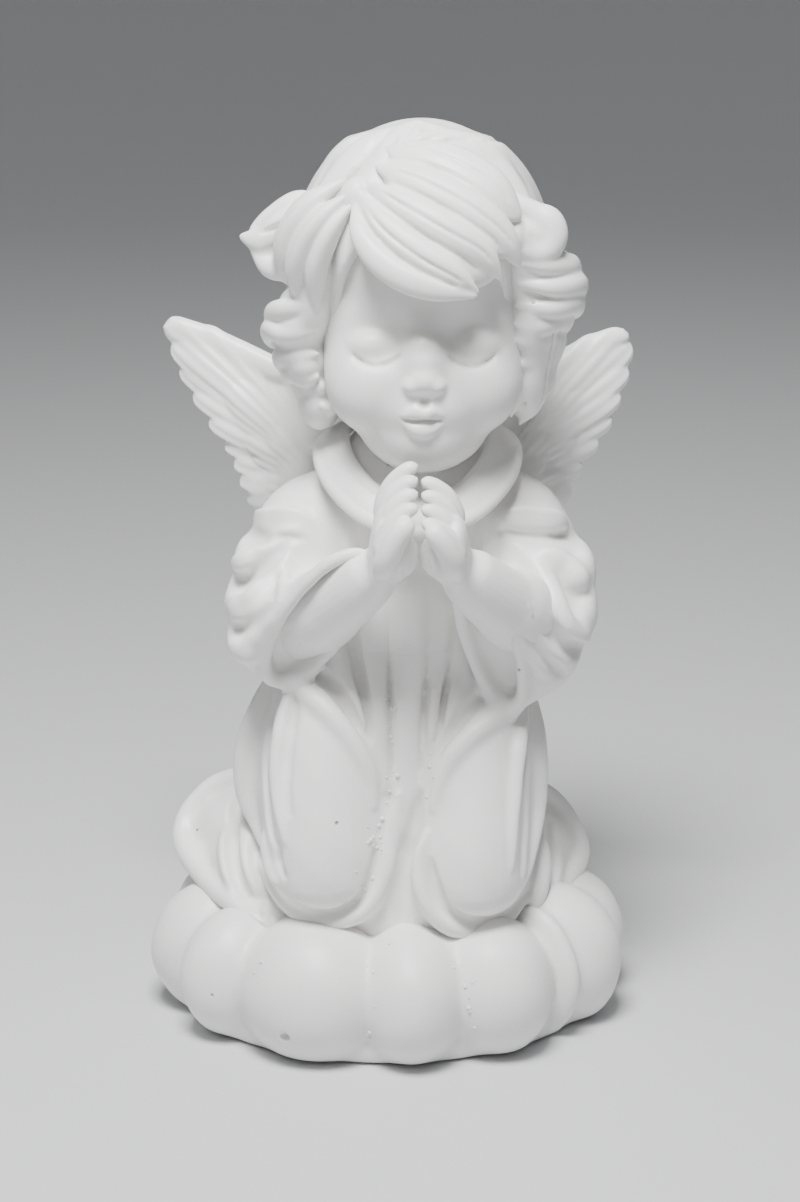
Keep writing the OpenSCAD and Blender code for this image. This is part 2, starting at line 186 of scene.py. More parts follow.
class Clay:
    """A block of clay: signed distances in mm on a grid, negative inside."""

    def __init__(self, low, high, cell):
        self.cell = cell * COARSE
        self.low = np.asarray(low, float)
        shape = np.ceil((np.asarray(high) - self.low) / self.cell).astype(int) + 1
        self.grains = []
        self.d = np.full(shape, FAR, np.float32)

    def twin(self):
        """An empty block on the same grid."""
        other = object.__new__(Clay)
        other.cell = self.cell
        other.low = self.low
        other.grains = []
        other.d = np.full(self.d.shape, FAR, np.float32)
        return other

    def window(self, low, high):
        """Slices of the grid round a box, and the coordinates there."""
        shape = np.array(self.d.shape)
        lo = np.clip(np.floor((np.asarray(low) - self.low) / self.cell).astype(int), 0, shape)
        hi = np.clip(np.ceil((np.asarray(high) - self.low) / self.cell).astype(int) + 1, 0, shape)
        where = tuple(slice(a, b) for a, b in zip(lo, hi))
        axes = [(np.arange(a, b) * self.cell + o).astype(np.float32)
                for a, b, o in zip(lo, hi, self.low)]
        return where, np.ix_(*axes)

    def everywhere(self):
        """Coordinates of the whole grid."""
        return self.window(self.low, self.low + np.array(self.d.shape) * self.cell)[1]

    def join(self, where, field, blend, carve):
        """Adds a distance field to part of the grid, or carves it away."""
        block = self.d[where]
        if carve:
            self.d[where] = -melt(-block, field, blend)
        else:
            self.d[where] = melt(block, field, blend)

    def blob(self, centre, radii, blend=0.0, turn=None, carve=False):
        """An egg of clay."""
        centre = np.asarray(centre, float)
        radii = np.asarray(radii, float)
        reach = radii.max() + blend + 1
        where, (x, y, z) = self.window(centre - reach, centre + reach)
        x, y, z = x - centre[0], y - centre[1], z - centre[2]
        if turn is not None:
            t = np.asarray(turn, np.float32)
            x, y, z = (x * t[0, 0] + y * t[1, 0] + z * t[2, 0],
                       x * t[0, 1] + y * t[1, 1] + z * t[2, 1],
                       x * t[0, 2] + y * t[1, 2] + z * t[2, 2])
        near = np.sqrt((x / radii[0]) ** 2 + (y / radii[1]) ** 2 + (z / radii[2]) ** 2)
        slope = np.sqrt((x / radii[0] ** 2) ** 2 + (y / radii[1] ** 2) ** 2
                        + (z / radii[2] ** 2) ** 2)
        self.join(where, near * (near - 1) / np.maximum(slope, 1e-6), blend, carve)

    def blobs(self, *eggs):
        """Eggs of clay, each given as its centre, radii and blend."""
        for centre, radii, blend in eggs:
            self.blob(centre, radii, blend)

    def lay(self, rings, blend=0.0, carve=False, closed=False, known=NEAR):
        """A skin over rings. known is how far from it distances are worked out, in mm."""
        points, quads, ends = skin(rings, closed)
        band = int(math.ceil((blend + known) / self.cell)) + 2
        grid = openvdb.FloatGrid.createLevelSetFromPolygons(
            (points - self.low).astype(np.float32), triangles=ends.astype(np.uint32),
            quads=quads.astype(np.uint32),
            transform=openvdb.createLinearTransform(voxelSize=self.cell), halfWidth=band)
        lo, hi = (np.array(c) for c in grid.evalActiveVoxelBoundingBox())
        shape = np.array(self.d.shape)
        lo = np.clip(lo, 0, shape - 1)
        hi = np.clip(hi, 0, shape - 1)
        field = np.empty(hi - lo + 1, np.float32)
        grid.copyToArray(field, ijk=tuple(int(c) for c in lo))
        where = tuple(slice(a, b + 1) for a, b in zip(lo, hi))
        self.join(where, field, blend, carve)

    def strand(self, points, wide, high, up=(0, -1, 0), blend=0.0, carve=False, start=0.25,
               end=0.35, sides=20, ridges=0, ridge_depth=0.0, count=30):
        """A roll of clay through the points, rounded or pointed at its ends."""
        path = spline(points, count)
        swell = tips(count, start, end)
        wide = spline(np.atleast_2d(wide).T, count)[:, 0] if np.ndim(wide) else wide
        high = spline(np.atleast_2d(high).T, count)[:, 0] if np.ndim(high) else high
        if callable(up):
            up = up(path)
        self.lay(rings_along(path, wide * swell, high * swell, up, sides, ridges, ridge_depth),
                 blend, carve)

    def settle(self, points, along, lift=0.0):
        """Points moved along a direction onto the surface of the clay, and lifted off it."""
        points = np.asarray(points, float)
        along = np.broadcast_to(unit(along), points.shape)
        steps = np.arange(0, 2 * SIGHT, self.cell * 0.5)
        ray = points[:, None] + along[:, None] * (steps - SIGHT)[None, :, None]
        index = np.rint((ray - self.low) / self.cell).astype(int)
        shape = np.array(self.d.shape)
        inside = ((index >= 0) & (index < shape)).all(-1)
        index = np.clip(index, 0, shape - 1)
        d = np.where(inside, self.d[index[..., 0], index[..., 1], index[..., 2]], FAR)
        hit = d < 0
        found = np.flatnonzero(hit.any(1))
        first = hit.argmax(1)
        if len(found):
            rows = np.arange(len(points))
            first = first[found[np.abs(rows[:, None] - found[None]).argmin(1)]]
        else:
            first = d.argmin(1)
        return points + along * (first * self.cell * 0.5 - SIGHT - lift)[:, None]

    def fold(self, points, wide, high, lift=0.0, blend=1.2, carve=False, view=FRONT, start=0.3,
             end=0.4, count=24):
        """A ridge or, carved, a groove along a curve drawn in a view of the clay."""
        flat = spline(points, count)
        path = self.settle(flat, view, lift)
        smooth = path.copy()
        for _ in range(3):
            smooth[1:-1] = (smooth[:-2] + 2 * smooth[1:-1] + smooth[2:]) / 4
        self.strand(smooth[::3], wide, high, -np.asarray(view, float), blend, carve, start, end,
                    sides=14, count=count)

    def bubbles(self, pairs, count, spread, seed):
        """Burst bubbles of the mould: tiny beads along a curve drawn as (x, z) in the front view."""
        smallest, growth, sunk, stations = 0.14, 0.22, 0.05, 60
        chance = np.random.default_rng(seed)
        flat = spline(front_points(pairs), stations)[chance.integers(0, stations, count)]
        flat[:, 0] += chance.normal(0, spread, count)
        flat[:, 2] += chance.normal(0, 0.5, count)
        size = smallest + growth * chance.random(count) ** 2
        self.grains += zip(self.settle(flat, FRONT, -sunk), size)

    def ripple(self, depth, length, phase=0.0):
        """Slow unevenness of hand-worked clay."""
        x, y, z = self.everywhere()
        k = 2 * math.pi / length
        wave = (np.sin(k * (x + 0.6 * y) + phase) + np.sin(k * (0.7 * z - 0.8 * x) + 2.1 * phase)) * 0.5
        wave = wave + 0.5 * np.sin(k * (1.1 * y + 0.9 * z) + 3.3 * phase)
        self.d += (depth * wave).astype(np.float32)

    def mesh(self, name, smooth=2):
        """Blender object of the clay's surface."""
        grid = openvdb.FloatGrid(FAR)
        grid.copyFromArray(np.ascontiguousarray(np.pad(self.d, 1, constant_values=FAR)))
        grid.transform = openvdb.createLinearTransform(voxelSize=self.cell)
        points, _, quads = grid.convertToPolygons(isovalue=0.0, adaptivity=0.0)
        points = points.astype(float) + self.low - self.cell
        points, quads = largest_shell(points, quads)
        points = relax(points, quads, smooth)
        for centre, radius in self.grains:
            ball, sides = bead(centre, radius)
            quads = np.vstack([quads, sides + len(points)])
            points = np.vstack([points, ball])
        return mesh_object(name, points, quads)


def bead(centre, radius, cuts=4):
    """Points and faces of a small ball, made as a blown-up cube."""
    step = np.tan(np.linspace(-math.pi / 4, math.pi / 4, cuts + 1))
    u, v = (a.ravel() for a in np.meshgrid(step, step, indexing="ij"))
    one = np.ones_like(u)
    corner = (np.arange(cuts)[:, None] * (cuts + 1) + np.arange(cuts)).ravel()
    faces = np.stack([corner, corner + cuts + 1, corner + cuts + 2, corner + 1], -1)
    sides = ((u, v, one), (v, u, -one), (one, u, v), (-one, v, u), (v, one, u), (u, -one, v))
    points = np.vstack([unit(np.stack(side, -1)) for side in sides])
    quads = np.vstack([faces + k * len(u) for k in range(len(sides))])
    return centre + radius * points, quads


def largest_shell(points, quads):
    """Drops loose crumbs: keeps the shells that hold a fair share of the points."""
    label = np.arange(len(points))
    while True:
        low = label[quads].min(1)
        new = label.copy()
        for c in range(4):
            np.minimum.at(new, quads[:, c], low)
        new = new[new]
        if (new == label).all():
            break
        label = new
    names, counts = np.unique(label, return_counts=True)
    keep = np.isin(label, names[counts > CRUMB * counts.max()])
    index = np.cumsum(keep) - 1
    return points[keep], index[quads[keep[quads[:, 0]]]]


def relax(points, quads, rounds):
    """Evens out grid steps without shrinking the form."""
    start = np.concatenate([quads[:, a] for a in (0, 1, 2, 3, 1, 2, 3, 0)])
    stop = np.concatenate([quads[:, a] for a in (1, 2, 3, 0, 0, 1, 2, 3)])
    size = len(points)
    count = np.maximum(np.bincount(start, minlength=size), 1)
    for k in range(2 * rounds):
        mean = np.stack([np.bincount(start, points[stop, c], size) / count for c in range(3)], -1)
        points = points + SOFTEN[k % 2] * (mean - points)
    return points


def mesh_object(name, points, quads):
    """Smooth-shaded object of points in mm and quads."""
    mesh = bpy.data.meshes.new(name)
    mesh.vertices.add(len(points))
    mesh.vertices.foreach_set("co", (np.asarray(points) * MM).astype(np.float32).ravel())
    mesh.loops.add(quads.size)
    mesh.loops.foreach_set("vertex_index", quads.astype(np.int32).ravel())
    mesh.polygons.add(len(quads))
    mesh.polygons.foreach_set("loop_start", np.arange(0, quads.size, 4, dtype=np.int32))
    mesh.polygons.foreach_set("use_smooth", np.ones(len(quads), bool))
    mesh.update(calc_edges=True)
    mesh.validate()
    obj = bpy.data.objects.new(name, mesh)
    bpy.context.scene.collection.objects.link(obj)
    return obj


def finish_piece(obj, nodes, material):
    """Gives a modelled casting its finish and its place in the frame."""
    obj.data.materials.append(material)
    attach(obj, "root")
    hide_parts(*nodes)


# ---------------------------------------------------------------- cloud

def model_cloud(look):
    """Ring of plump puffs with a flat underside."""
    low, high = box_mm("cloud_base")
    half_w, half_d = (high[0] - low[0]) / 2, (high[1] - low[1]) / 2
    clay = Clay(low - 3, high + 4, 0.4)
    # mound in the middle, a pad under the puffs, and the front of the mound below the knees
    clay.blobs(((0, 0, 0), (half_w - 5.4, half_d - 5.4, 17.0), 0),
               ((0, 0.5, 2.0), (half_w - 4.6, half_d - 4.4, 7), 2.0),
               ((8, -13.0, 9.5), (9, 7.6, 7.6), 2.0), ((-9, -13.0, 10), (9, 7.6, 7.6), 2.0))
    puff_out, puff_level = 9.6, 8.2     # half depth of a puff, and the height of its middle
    strip_width, strip_sunk = 4, 1.6    # a narrower puff is a strip between two others, set back
    # angle round the base, half width and height of each puff
    puffs = ((187, 7.6, 9.6), (214, 6.9, 9.2), (245.5, 10.4, 9.9), (277, 7.5, 9.4), (304.5, 8.4, 9.6),
             (325, 2.6, 9.2), (343, 8.0, 10.1), (8, 8.4, 9.6), (34, 8.4, 9.4), (61, 8.8, 9.8),
             (90, 8.2, 9.2), (120, 9.0, 9.8), (153, 9.4, 9.5))
    for angle, width, height in puffs:
        a = math.radians(angle)
        strip = width < strip_width
        reach = puff_out - (strip_sunk if strip else 0)
        centre = ((half_w - puff_out) * math.cos(a), (half_d - puff_out) * math.sin(a), puff_level)
        facing = math.degrees(math.atan2(math.sin(a) / half_d, math.cos(a) / half_w))
        clay.blob(centre, (reach, width * look.puff_size, height), 0.8 if strip else 1.1, turned(facing))
    clay.ripple(0.07, 9.0, 1.0)
    # one burst bubble, and three trails of casting beads
    hole = clay.settle([(-13.4, 0, 5.2)], FRONT)[0]
    clay.blob(hole, (0.66, 1.2, 0.66), 0.0, carve=True)
    clay.bubbles(((-1.2, 14.5), (-2.2, 11), (-2.8, 7), (-2.6, 3)), 26, 0.8, seed=11)
    clay.bubbles(((9.4, 13.5), (10.6, 10), (11, 6)), 16, 0.6, seed=12)
    clay.bubbles(((-16.5, 13.5), (-19, 10), (-20.4, 7)), 12, 0.7, seed=13)
    # flat underside, with a rounded edge
    where, (x, y, z) = clay.window(clay.low, high + 4)
    clay.join(where, (0.0 * x + 0.0 * y + z).astype(np.float32), 1.4, True)
    return clay.mesh("cloud_base_casting")


# ---------------------------------------------------------------- robe

SUNK = 0.4                      # how far a casting sinks under the one that laps over it, in mm
LAP = 5                         # how far the bodice laps below the skirt's top, in mm
BODY_X, CHEST_X = 1.6, 3.4      # middle of the kneeling body and of the chest, in mm
SKIRT_LEVELS = (                # height, reach to the left, right, front and back, in mm
    (11, 19, 18, 15, 17), (18, 20, 19, 15.5, 18), (25, 19.8, 18.4, 14, 17), (32, 20.2, 18.6, 12.8, 15.6),
    (40, 18.9, 18, 11.6, 13.4), (48, 16, 15.6, 10.2, 11), (56, 12.4, 12.6, 9.0, 9.2),
    (62, 11.6, 12, 8.6, 8.8))
TORSO_LEVELS = (
    (50, 11.8, 12, 8.8, 9), (58, 11.6, 12, 8.8, 9.2), (66, 12.2, 12.6, 9.4, 9.6), (71, 12, 12.4, 9.8, 9),
    (75, 11, 11.2, 9.4, 8.6), (78.4, 9.2, 9.2, 7.4, 7.6), (81, 7, 7, 5.4, 6.4))


def stacked(levels, middle_x, power=2.2, sides=72, rings=40):
    """Rings of a body whose reach to each side changes with height. power squares its corners."""
    level = spline(levels, rings)
    a = np.linspace(0, 2 * math.pi, sides, endpoint=False)
    c, s = np.cos(a), np.sin(a)
    across = np.sign(c) * np.abs(c) ** (2 / power)
    deep = np.sign(s) * np.abs(s) ** (2 / power)
    x = middle_x + np.where(c < 0, level[:, 1:2], level[:, 2:3]) * across
    y = np.where(s < 0, level[:, 3:4], level[:, 4:5]) * deep
    z = np.repeat(level[:, :1], sides, 1)
    return np.stack([x, y, z], -1)


def ridge(clay, pairs, wide, high, lift=0.1, blend=1.0, **more):
    """A soft fold drawn in the front view as (x, z)."""
    clay.fold(front_points(pairs), wide, high, lift, blend, **more)


def crease(clay, pairs, wide, deep, blend=0.8, **more):
    """A groove drawn in the front view as (x, z)."""
    clay.fold(front_points(pairs), wide, deep, 0, blend, True, **more)


def cloth_lip(clay, lip, inner, thick):
    """A spread of cloth from the body out to a rolled lip."""
    lip, inner = spline(lip, 13), spline(inner, 13)
    for a, b in zip(inner, lip):
        middle = (a + b) / 2 + (0, 0, -0.9)
        clay.strand([a, middle, b], [thick + 1.2, thick + 0.4, thick * 0.8], thick, (0, 0, 1), 1.4,
                    start=0.05, end=0.2, sides=14, count=12)
    clay.strand(lip, thick, thick, (0, 0, 1), 0.8, start=0.12, end=0.15, sides=14, count=40)


def model_skirt(clay, look):
    """Kneeling lower robe: thighs, centre pleat, hem rims, side train and back."""
    depth = look.fold_depth

    def rise(*heights):
        """Heights along a fold, scaled by the fold depth."""
        return np.array(heights) * depth

    clay.lay(stacked(SKIRT_LEVELS, BODY_X), known=FAR)
    # thighs, from the hip down to the knee
    clay.strand([(-6.4, -2, 53), (-8.0, -6.8, 43), (-8.6, -9.8, 33), (-8.4, -11.4, 25), (-8.0, -10.4, 19.5)],
                [5.2, 6.8, 7.6, 7.6, 6.8], [4.8, 6.4, 7.6, 8.2, 7.4], blend=4.5, start=0.3, end=0.22,
                sides=36)
    clay.strand([(9.2, -2, 51), (10.6, -6.8, 41), (10.9, -9.8, 31.5), (11.0, -11.4, 24), (11.4, -10.4, 18)],
                [5.2, 6.6, 7.4, 7.6, 6.8], [4.8, 6.4, 7.6, 8.2, 7.4], blend=4.5, start=0.3, end=0.22,
                sides=36)
    # cloth spread over the cloud on both sides
    clay.blobs(((-18, 4, 18), (7.4, 12, 7.4), 3.0), ((18, 4, 17), (6.6, 12, 7), 3.0),
               ((-17.5, 10, 21), (7.4, 7, 8), 3.0), ((17.5, 10, 19.5), (6.8, 7, 7.6), 3.0),
               ((-21.5, 7.5, 20.2), (6.2, 5.5, 6.8), 2.0), ((20.6, 7.5, 18.2), (5.6, 5.5, 6.4), 2.0))
    # broad swell of the hips, under the side panels
    clay.strand([(-13.5, 3.5, 49), (-15.8, 3.5, 42), (-16.9, 3.5, 36), (-16.7, 3.5, 30), (-15.8, 3, 25)],
                [4.5, 6, 6.5, 6], [2.0, 2.6, 2.6, 2.2], (-1, 0, 0), 2.5, start=0.4, sides=28)
    clay.strand([(16.9, 3.5, 47), (17.7, 3.5, 39), (17.9, 3.5, 31), (17.2, 3, 22)], [4.5, 6, 6.5, 6],
                [1.8, 2.3, 2.3, 2.0], (1, 0, 0), 2.5, start=0.4, sides=28)
    cloth_lip(clay, [(-18.4, 9, 29.4), (-24.2, 9.4, 27.4), (-28, 8.2, 23.6), (-28.7, 5.4, 20.8),
                     (-26.6, 0.5, 18.9), (-22, -6.5, 17.3), (-16.6, -12.6, 16.2)],
              [(-14, 8, 27), (-15, 7, 24.6), (-15.6, 5.6, 21.6), (-15.4, 4, 19.4), (-15, 0, 18.2),
               (-14.4, -5, 17.6), (-12, -10, 16.6)], 1.45)
    cloth_lip(clay, [(19, 9, 28), (23.2, 9.2, 25), (26.2, 7.8, 20.6), (26.2, 4.4, 17.8), (22.4, -3.4, 15.6),
                     (18.6, -10.6, 14.4)],
              [(14, 8, 26), (15, 7, 23), (15.4, 5.4, 20), (15.2, 3, 18), (14.4, -3, 16.6), (12.4, -9, 15.4)],
              1.35)
    # folds in that cloth
    for points, size in (([(-18.6, 0, 29), (-19.4, 0, 25), (-18.8, 0, 21), (-16.8, 0, 17.8)], 1.2),
                         ([(-22.6, 0, 23.6), (-21.6, 0, 20.6), (-19.2, 0, 17.8)], 0.9),
                         ([(20, 0, 25), (20.8, 0, 21.4), (19.8, 0, 17.8), (18.4, 0, 15.4)], 1.2)):
        clay.fold(points, size, size * 1.1 * depth, 0.1, 1.4)
    for points, size in (([(-20.6, 0, 27.6), (-21.2, 0, 23.6), (-20.2, 0, 20), (-17.6, 0, 16.8)], 0.9),
                         ([(-17.4, 0, 27), (-17.6, 0, 23.4), (-16.4, 0, 19.8), (-14.6, 0, 17.6)], 0.8),
                         ([(22.4, 0, 24), (22.8, 0, 20.4), (21.4, 0, 17.2)], 0.9)):
        clay.fold(points, size, size * 1.2 * depth, 0, 1.2, True)
    # back of the robe: cloth over the heels, folds that fan out to the hem
    clay.blobs(((-7, 15.5, 19), (6.5, 6, 6.5), 3.0), ((10, 15.5, 19), (6.5, 6, 6.5), 3.0))
    for k, x in enumerate((-21, -14.5, -8, -1.5, 5, 11.5, 18)):
        sway = 1.2 * math.sin(2.4 * k)
        spread = x - BODY_X
        clay.fold([(BODY_X + spread * 0.42, 0, 53), (BODY_X + spread * 0.6 + sway, 0, 42),
                   (BODY_X + spread * 0.86, 0, 28), (x + 0.4 * sway, 0, 16.5)],
                  [0.8, 1.5, 2.1, 2.4], rise(0.5, 1.1, 1.6, 1.9), -0.2, 1.6,
                  view=BACK, start=0.3, end=0.12)
    # side panels: a bellied fold, with a sharp double fold towards the thigh
    ridge(clay, [(-15, 48), (-17.4, 42), (-18.9, 36.5), (-18.8, 31), (-17.2, 26.4), (-15.8, 24)],
          [1.4, 1.9, 2.0, 1.4], rise(1.0, 1.6, 1.7, 0.9))
    crease(clay, [(-14.4, 47.6), (-15.8, 42), (-16.4, 36), (-15.6, 31), (-14.6, 28)], 0.8, 1.3 * depth)
    ridge(clay, [(-12.9, 48.4), (-14.1, 43), (-14.7, 37.4), (-14.2, 32.6), (-13.0, 28.0)],
          [0.8, 1.0, 0.9, 0.5], rise(0.9, 1.2, 0.9, 0.3), 0.2, 1.0, end=0.7)
    crease(clay, [(-12.0, 47), (-12.8, 42), (-13.2, 37), (-12.6, 32)], 0.5, rise(0.8, 0.8, 0.5, 0.2),
           1.0, end=0.7)
    ridge(clay, [(-16.4, 28.4), (-15.6, 25.2), (-14.2, 22.6)], 0.9, 1.0 * depth, 0.2, 0.9)
    crease(clay, [(-14.6, 29), (-14.2, 26.2), (-13.2, 24.4)], 0.6, 0.9 * depth, 0.7)
    ridge(clay, [(18.6, 46), (19.4, 39.4), (19.6, 33), (19, 27), (17.6, 21)],
          [1.2, 1.7, 1.7, 1.3], rise(1.0, 1.5, 1.5, 0.9))
    crease(clay, [(18.4, 45), (18.2, 39), (18, 33), (17.6, 27), (17.2, 23)], 0.7, 1.2 * depth)
    ridge(clay, [(18.3, 44.6), (17.1, 41), (16.5, 36), (16.2, 30), (16.0, 24)], [0.9, 1.1, 0.9, 0.5],
          rise(1.0, 1.1, 0.8, 0.3), 0.2, 1.0, end=0.7)
    # folds that run down from the waist
    ridge(clay, [(-2.6, 62), (-2.0, 55), (-1.1, 47), (-0.6, 40), (-0.4, 33)], [1.5, 1.7, 1.4, 0.9],
          rise(0.8, 1.0, 0.8, 0.4), 0, 1.4)
    crease(clay, [(-5.2, 58), (-4.2, 51.6), (-3.0, 46), (-1.8, 40.6)], [0.9, 1.0, 0.8, 0.5],
           rise(1.1, 1.2, 0.9, 0.5))
    ridge(clay, [(-7.2, 56), (-5.8, 50.6), (-4.2, 46.4), (-2.7, 42)], [0.8, 0.9, 0.7, 0.5], 0.7 * depth, 0.1,
          0.8)
    crease(clay, [(-11.8, 51), (-8.0, 49.4), (-5.4, 46.2), (-3.6, 42.6), (-2.2, 39)], [0.9, 1.1, 0.9, 0.6],
           rise(0.4, 0.9, 1.0, 0.5))
    ridge(clay, [(-12.8, 48.4), (-9.6, 47.3), (-6.6, 44.8), (-4.0, 41.4), (-2.2, 37), (-1.5, 31)],
          [1.1, 1.3, 1.1, 0.8], rise(1.0, 1.2, 1.0, 0.6), 0.2, 1.2)
    crease(clay, [(8.6, 59.6), (8.0, 52.6), (6.9, 45.6), (6.1, 40.6)], [0.9, 1.0, 0.8, 0.5],
           rise(1.1, 1.2, 0.9, 0.5))
    ridge(clay, [(7.2, 61), (6.7, 53.6), (5.9, 46), (5.2, 40)], [0.8, 0.9, 0.8, 0.5], 0.8 * depth, 0.1, 0.7)
    ridge(clay, [(10.6, 58), (9.8, 52), (8.4, 46.6), (7.2, 43)], [0.9, 1.0, 0.8, 0.5], 0.7 * depth, 0.1, 0.9)
    crease(clay, [(17, 48.2), (13.2, 47.4), (9.8, 45), (7.6, 41.6), (6.4, 38.4)], [0.9, 1.0, 0.9, 0.6],
           rise(0.3, 0.7, 1.0, 0.5))
    ridge(clay, [(18.2, 45.2), (14.4, 44.9), (11.0, 43.2), (8.2, 40.4), (6.4, 36.6), (5.4, 31)],
          [1.1, 1.3, 1.1, 0.8], rise(1.0, 1.2, 1.0, 0.6), 0.2, 1.2)
    # centre pleat, flat-topped, with a crease on each side
    ridge(clay, [(2.5, 63), (2.5, 54), (2.4, 46), (2.2, 38), (1.7, 31), (0.8, 26)], [2.3, 2.2, 2.0, 1.8, 1.4],
          rise(1.3, 1.3, 1.2, 1.1, 1.0), 0.1, 0.7, start=0.1, end=0.3)
    crease(clay, [(-0.1, 61.5), (0.0, 52), (0.3, 43), (0.5, 35)], 0.45, 0.75 * depth, 0.6)
    crease(clay, [(5.1, 61.5), (5.0, 52), (4.5, 43), (4.1, 35)], 0.45, 0.75 * depth, 0.6)
    # hem rims that curve round the knees
    ridge(clay, [(-17.6, 23), (-15.6, 20.6), (-12.8, 18.7), (-9.4, 17.8), (-5.2, 18.4), (-2.2, 20.6),
                 (-0.6, 24.4), (0.4, 29), (1.2, 34), (1.7, 39)],
          [0.9, 1.3, 1.5, 1.3, 1.1, 0.9], [1.2, 1.7, 1.9, 1.5, 0.9, 0.5], 0.4, 1.2)
    crease(clay, [(-13, 21.4), (-9.6, 19.9), (-5.8, 20.2), (-3.2, 22.4), (-1.9, 26), (-1.4, 30)],
           [0.6, 0.9, 0.8, 0.6], [0.6, 0.8, 0.8, 0.5], 0.9)
    ridge(clay, [(5.0, 30.5), (3.7, 26.4), (4.6, 21.6), (7.2, 18.2), (10.6, 16.6), (14.2, 16.2),
                 (17.6, 17.4), (19.8, 20)],
          [0.8, 1.2, 1.5, 1.4, 0.9], [1.0, 1.6, 1.9, 1.7, 1.0], 0.4, 1.0)
    crease(clay, [(5.6, 27), (6.2, 23.2), (7.8, 20.4), (11, 18.8), (14.4, 18.8), (16.8, 20.6)],
           [0.6, 0.9, 0.8, 0.6], [0.6, 0.8, 0.8, 0.5], 0.9)
    crease(clay, [(4.2, 35), (3.2, 30), (2.2, 25), (1.7, 20), (1.6, 15)], [0.5, 0.7, 0.8, 0.9],
           [0.6, 0.9, 1.0, 1.0], 1.2)


LEFT_SLEEVE = (                 # middle, long half and broad half of each ring, shoulder to cuff
    ((-4.5, 0.6, 69.5), (0, 0, 7.0), (0, -7.2, 0)),
    ((-10.2, 0, 66.8), (-5.4, 0, 4.4), (0, -7.2, -0.6)),
    ((-12.8, -3, 61), (-7.6, 0.6, -1.8), (-0.6, -6.8, 1.6)),
    ((-11.8, -8.6, 58.6), (-7.4, 1.6, -7.2), (-2.6, -5.4, 3.4)),
    ((-9.2, -13.6, 58.8), (-6.6, 4, -9.8), (-3.0, -2.2, 3.6)))
RIGHT_SLEEVE = (
    ((9.6, 0.6, 70), (0, 0, 7.0), (0, -7.2, 0)),
    ((16.0, 0, 67.4), (5.6, 0, 4.4), (0, -7.2, -0.6)),
    ((18.4, -3, 61.2), (7.9, 0.6, -1.6), (0.6, -6.8, 1.6)),
    ((16.8, -8.8, 57.6), (7.0, 1.8, -8.4), (2.6, -5.6, 2.8)),
    ((13.0, -13.8, 56.8), (3.9, 4.2, -11.8), (2.6, -2.0, 3.0)))


def sleeve_rings(frames, count, scale=1.0, start=0.0, stop=1.0, sides=40):
    """Rings of a sleeve from its shoulder to its cuff."""
    flat = spline([np.concatenate(f) for f in frames], 97)
    at = np.linspace(start, stop, count)
    whole = np.minimum((at * 96).astype(int), 95)
    part = (at * 96 - whole)[:, None]
    row = flat[whole] * (1 - part) + flat[whole + 1] * part
    a = np.linspace(0, 2 * math.pi, sides, endpoint=False)
    return (row[:, None, :3] + scale * (np.cos(a)[None, :, None] * row[:, None, 3:6]
                                        + np.sin(a)[None, :, None] * row[:, None, 6:9]))


def model_sleeve(clay, frames, creases, ridges, outer_folds, side):
    """Bell sleeve: folds, a rolled lip, and a shallow dish for its opening. side is -1 or 1."""
    clay.lay(sleeve_rings(frames, 30), known=FAR)
    # folds on the outer side: height, where each starts and ends from front to back, and its rise
    for z, near, far, rise, size in outer_folds:
        outer = [(0, near, z - 0.6), (0, (2 * near + far) / 3, z),
                 (0, (near + 2 * far) / 3, z + rise / 2), (0, far, z + rise)]
        clay.fold(outer, np.array([0.8, 1.0, 0.9, 0.5]) * size, np.array([0.5, 0.6, 0.35, 0.1]) * size,
                  0.0, 2.2, view=(-side, 0, 0), end=0.7)
    for pairs, wide, high in ridges:
        ridge(clay, pairs, wide, high, 0.1, 1.6)
    for pairs, size in creases:
        crease(clay, pairs, size, size * 1.3, 1.1)
    end = sleeve_rings(frames, 3, 1.0, 0.9, 1.0)
    out = unit((end[2].mean(0) - end[1].mean(0))[None])[0]
    middle = end[2].mean(0)
    dish = [middle + k * (end[2] - middle) + shift * out
            for k, shift in ((0.55, -1.9), (0.72, -1.5), (0.84, -0.6), (0.9, 0.6), (0.94, 2.4))]
    clay.lay(np.stack(dish), 0.8, True)
    rim = spline((middle + 0.94 * (end[2] - middle))[::2], 60, closed=True)
    clay.lay(rings_along(rim, 0.9, 0.8, unit(rim - middle), 10, closed=True), 0.8, closed=True)


def smooth_step(value, low, high):
    """0 below low, 1 above high, and a smooth climb between them."""
    t = np.clip((value - low) / (high - low), 0, 1)
    return t * t * (3 - 2 * t)


def parted(whole, nearer, ahead, tongue):
    """Two overlapping parts of a body, parted where nearer is 0.

    The outer part reaches ahead over the inner one, which sinks below it and ends tongue mm further on,
    so no gap shows."""
    under = np.maximum(whole + SUNK * smooth_step(nearer, -ahead, 0.8), nearer - tongue)
    over = np.maximum(whole, -nearer - ahead)
    return under.astype(np.float32), over.astype(np.float32)


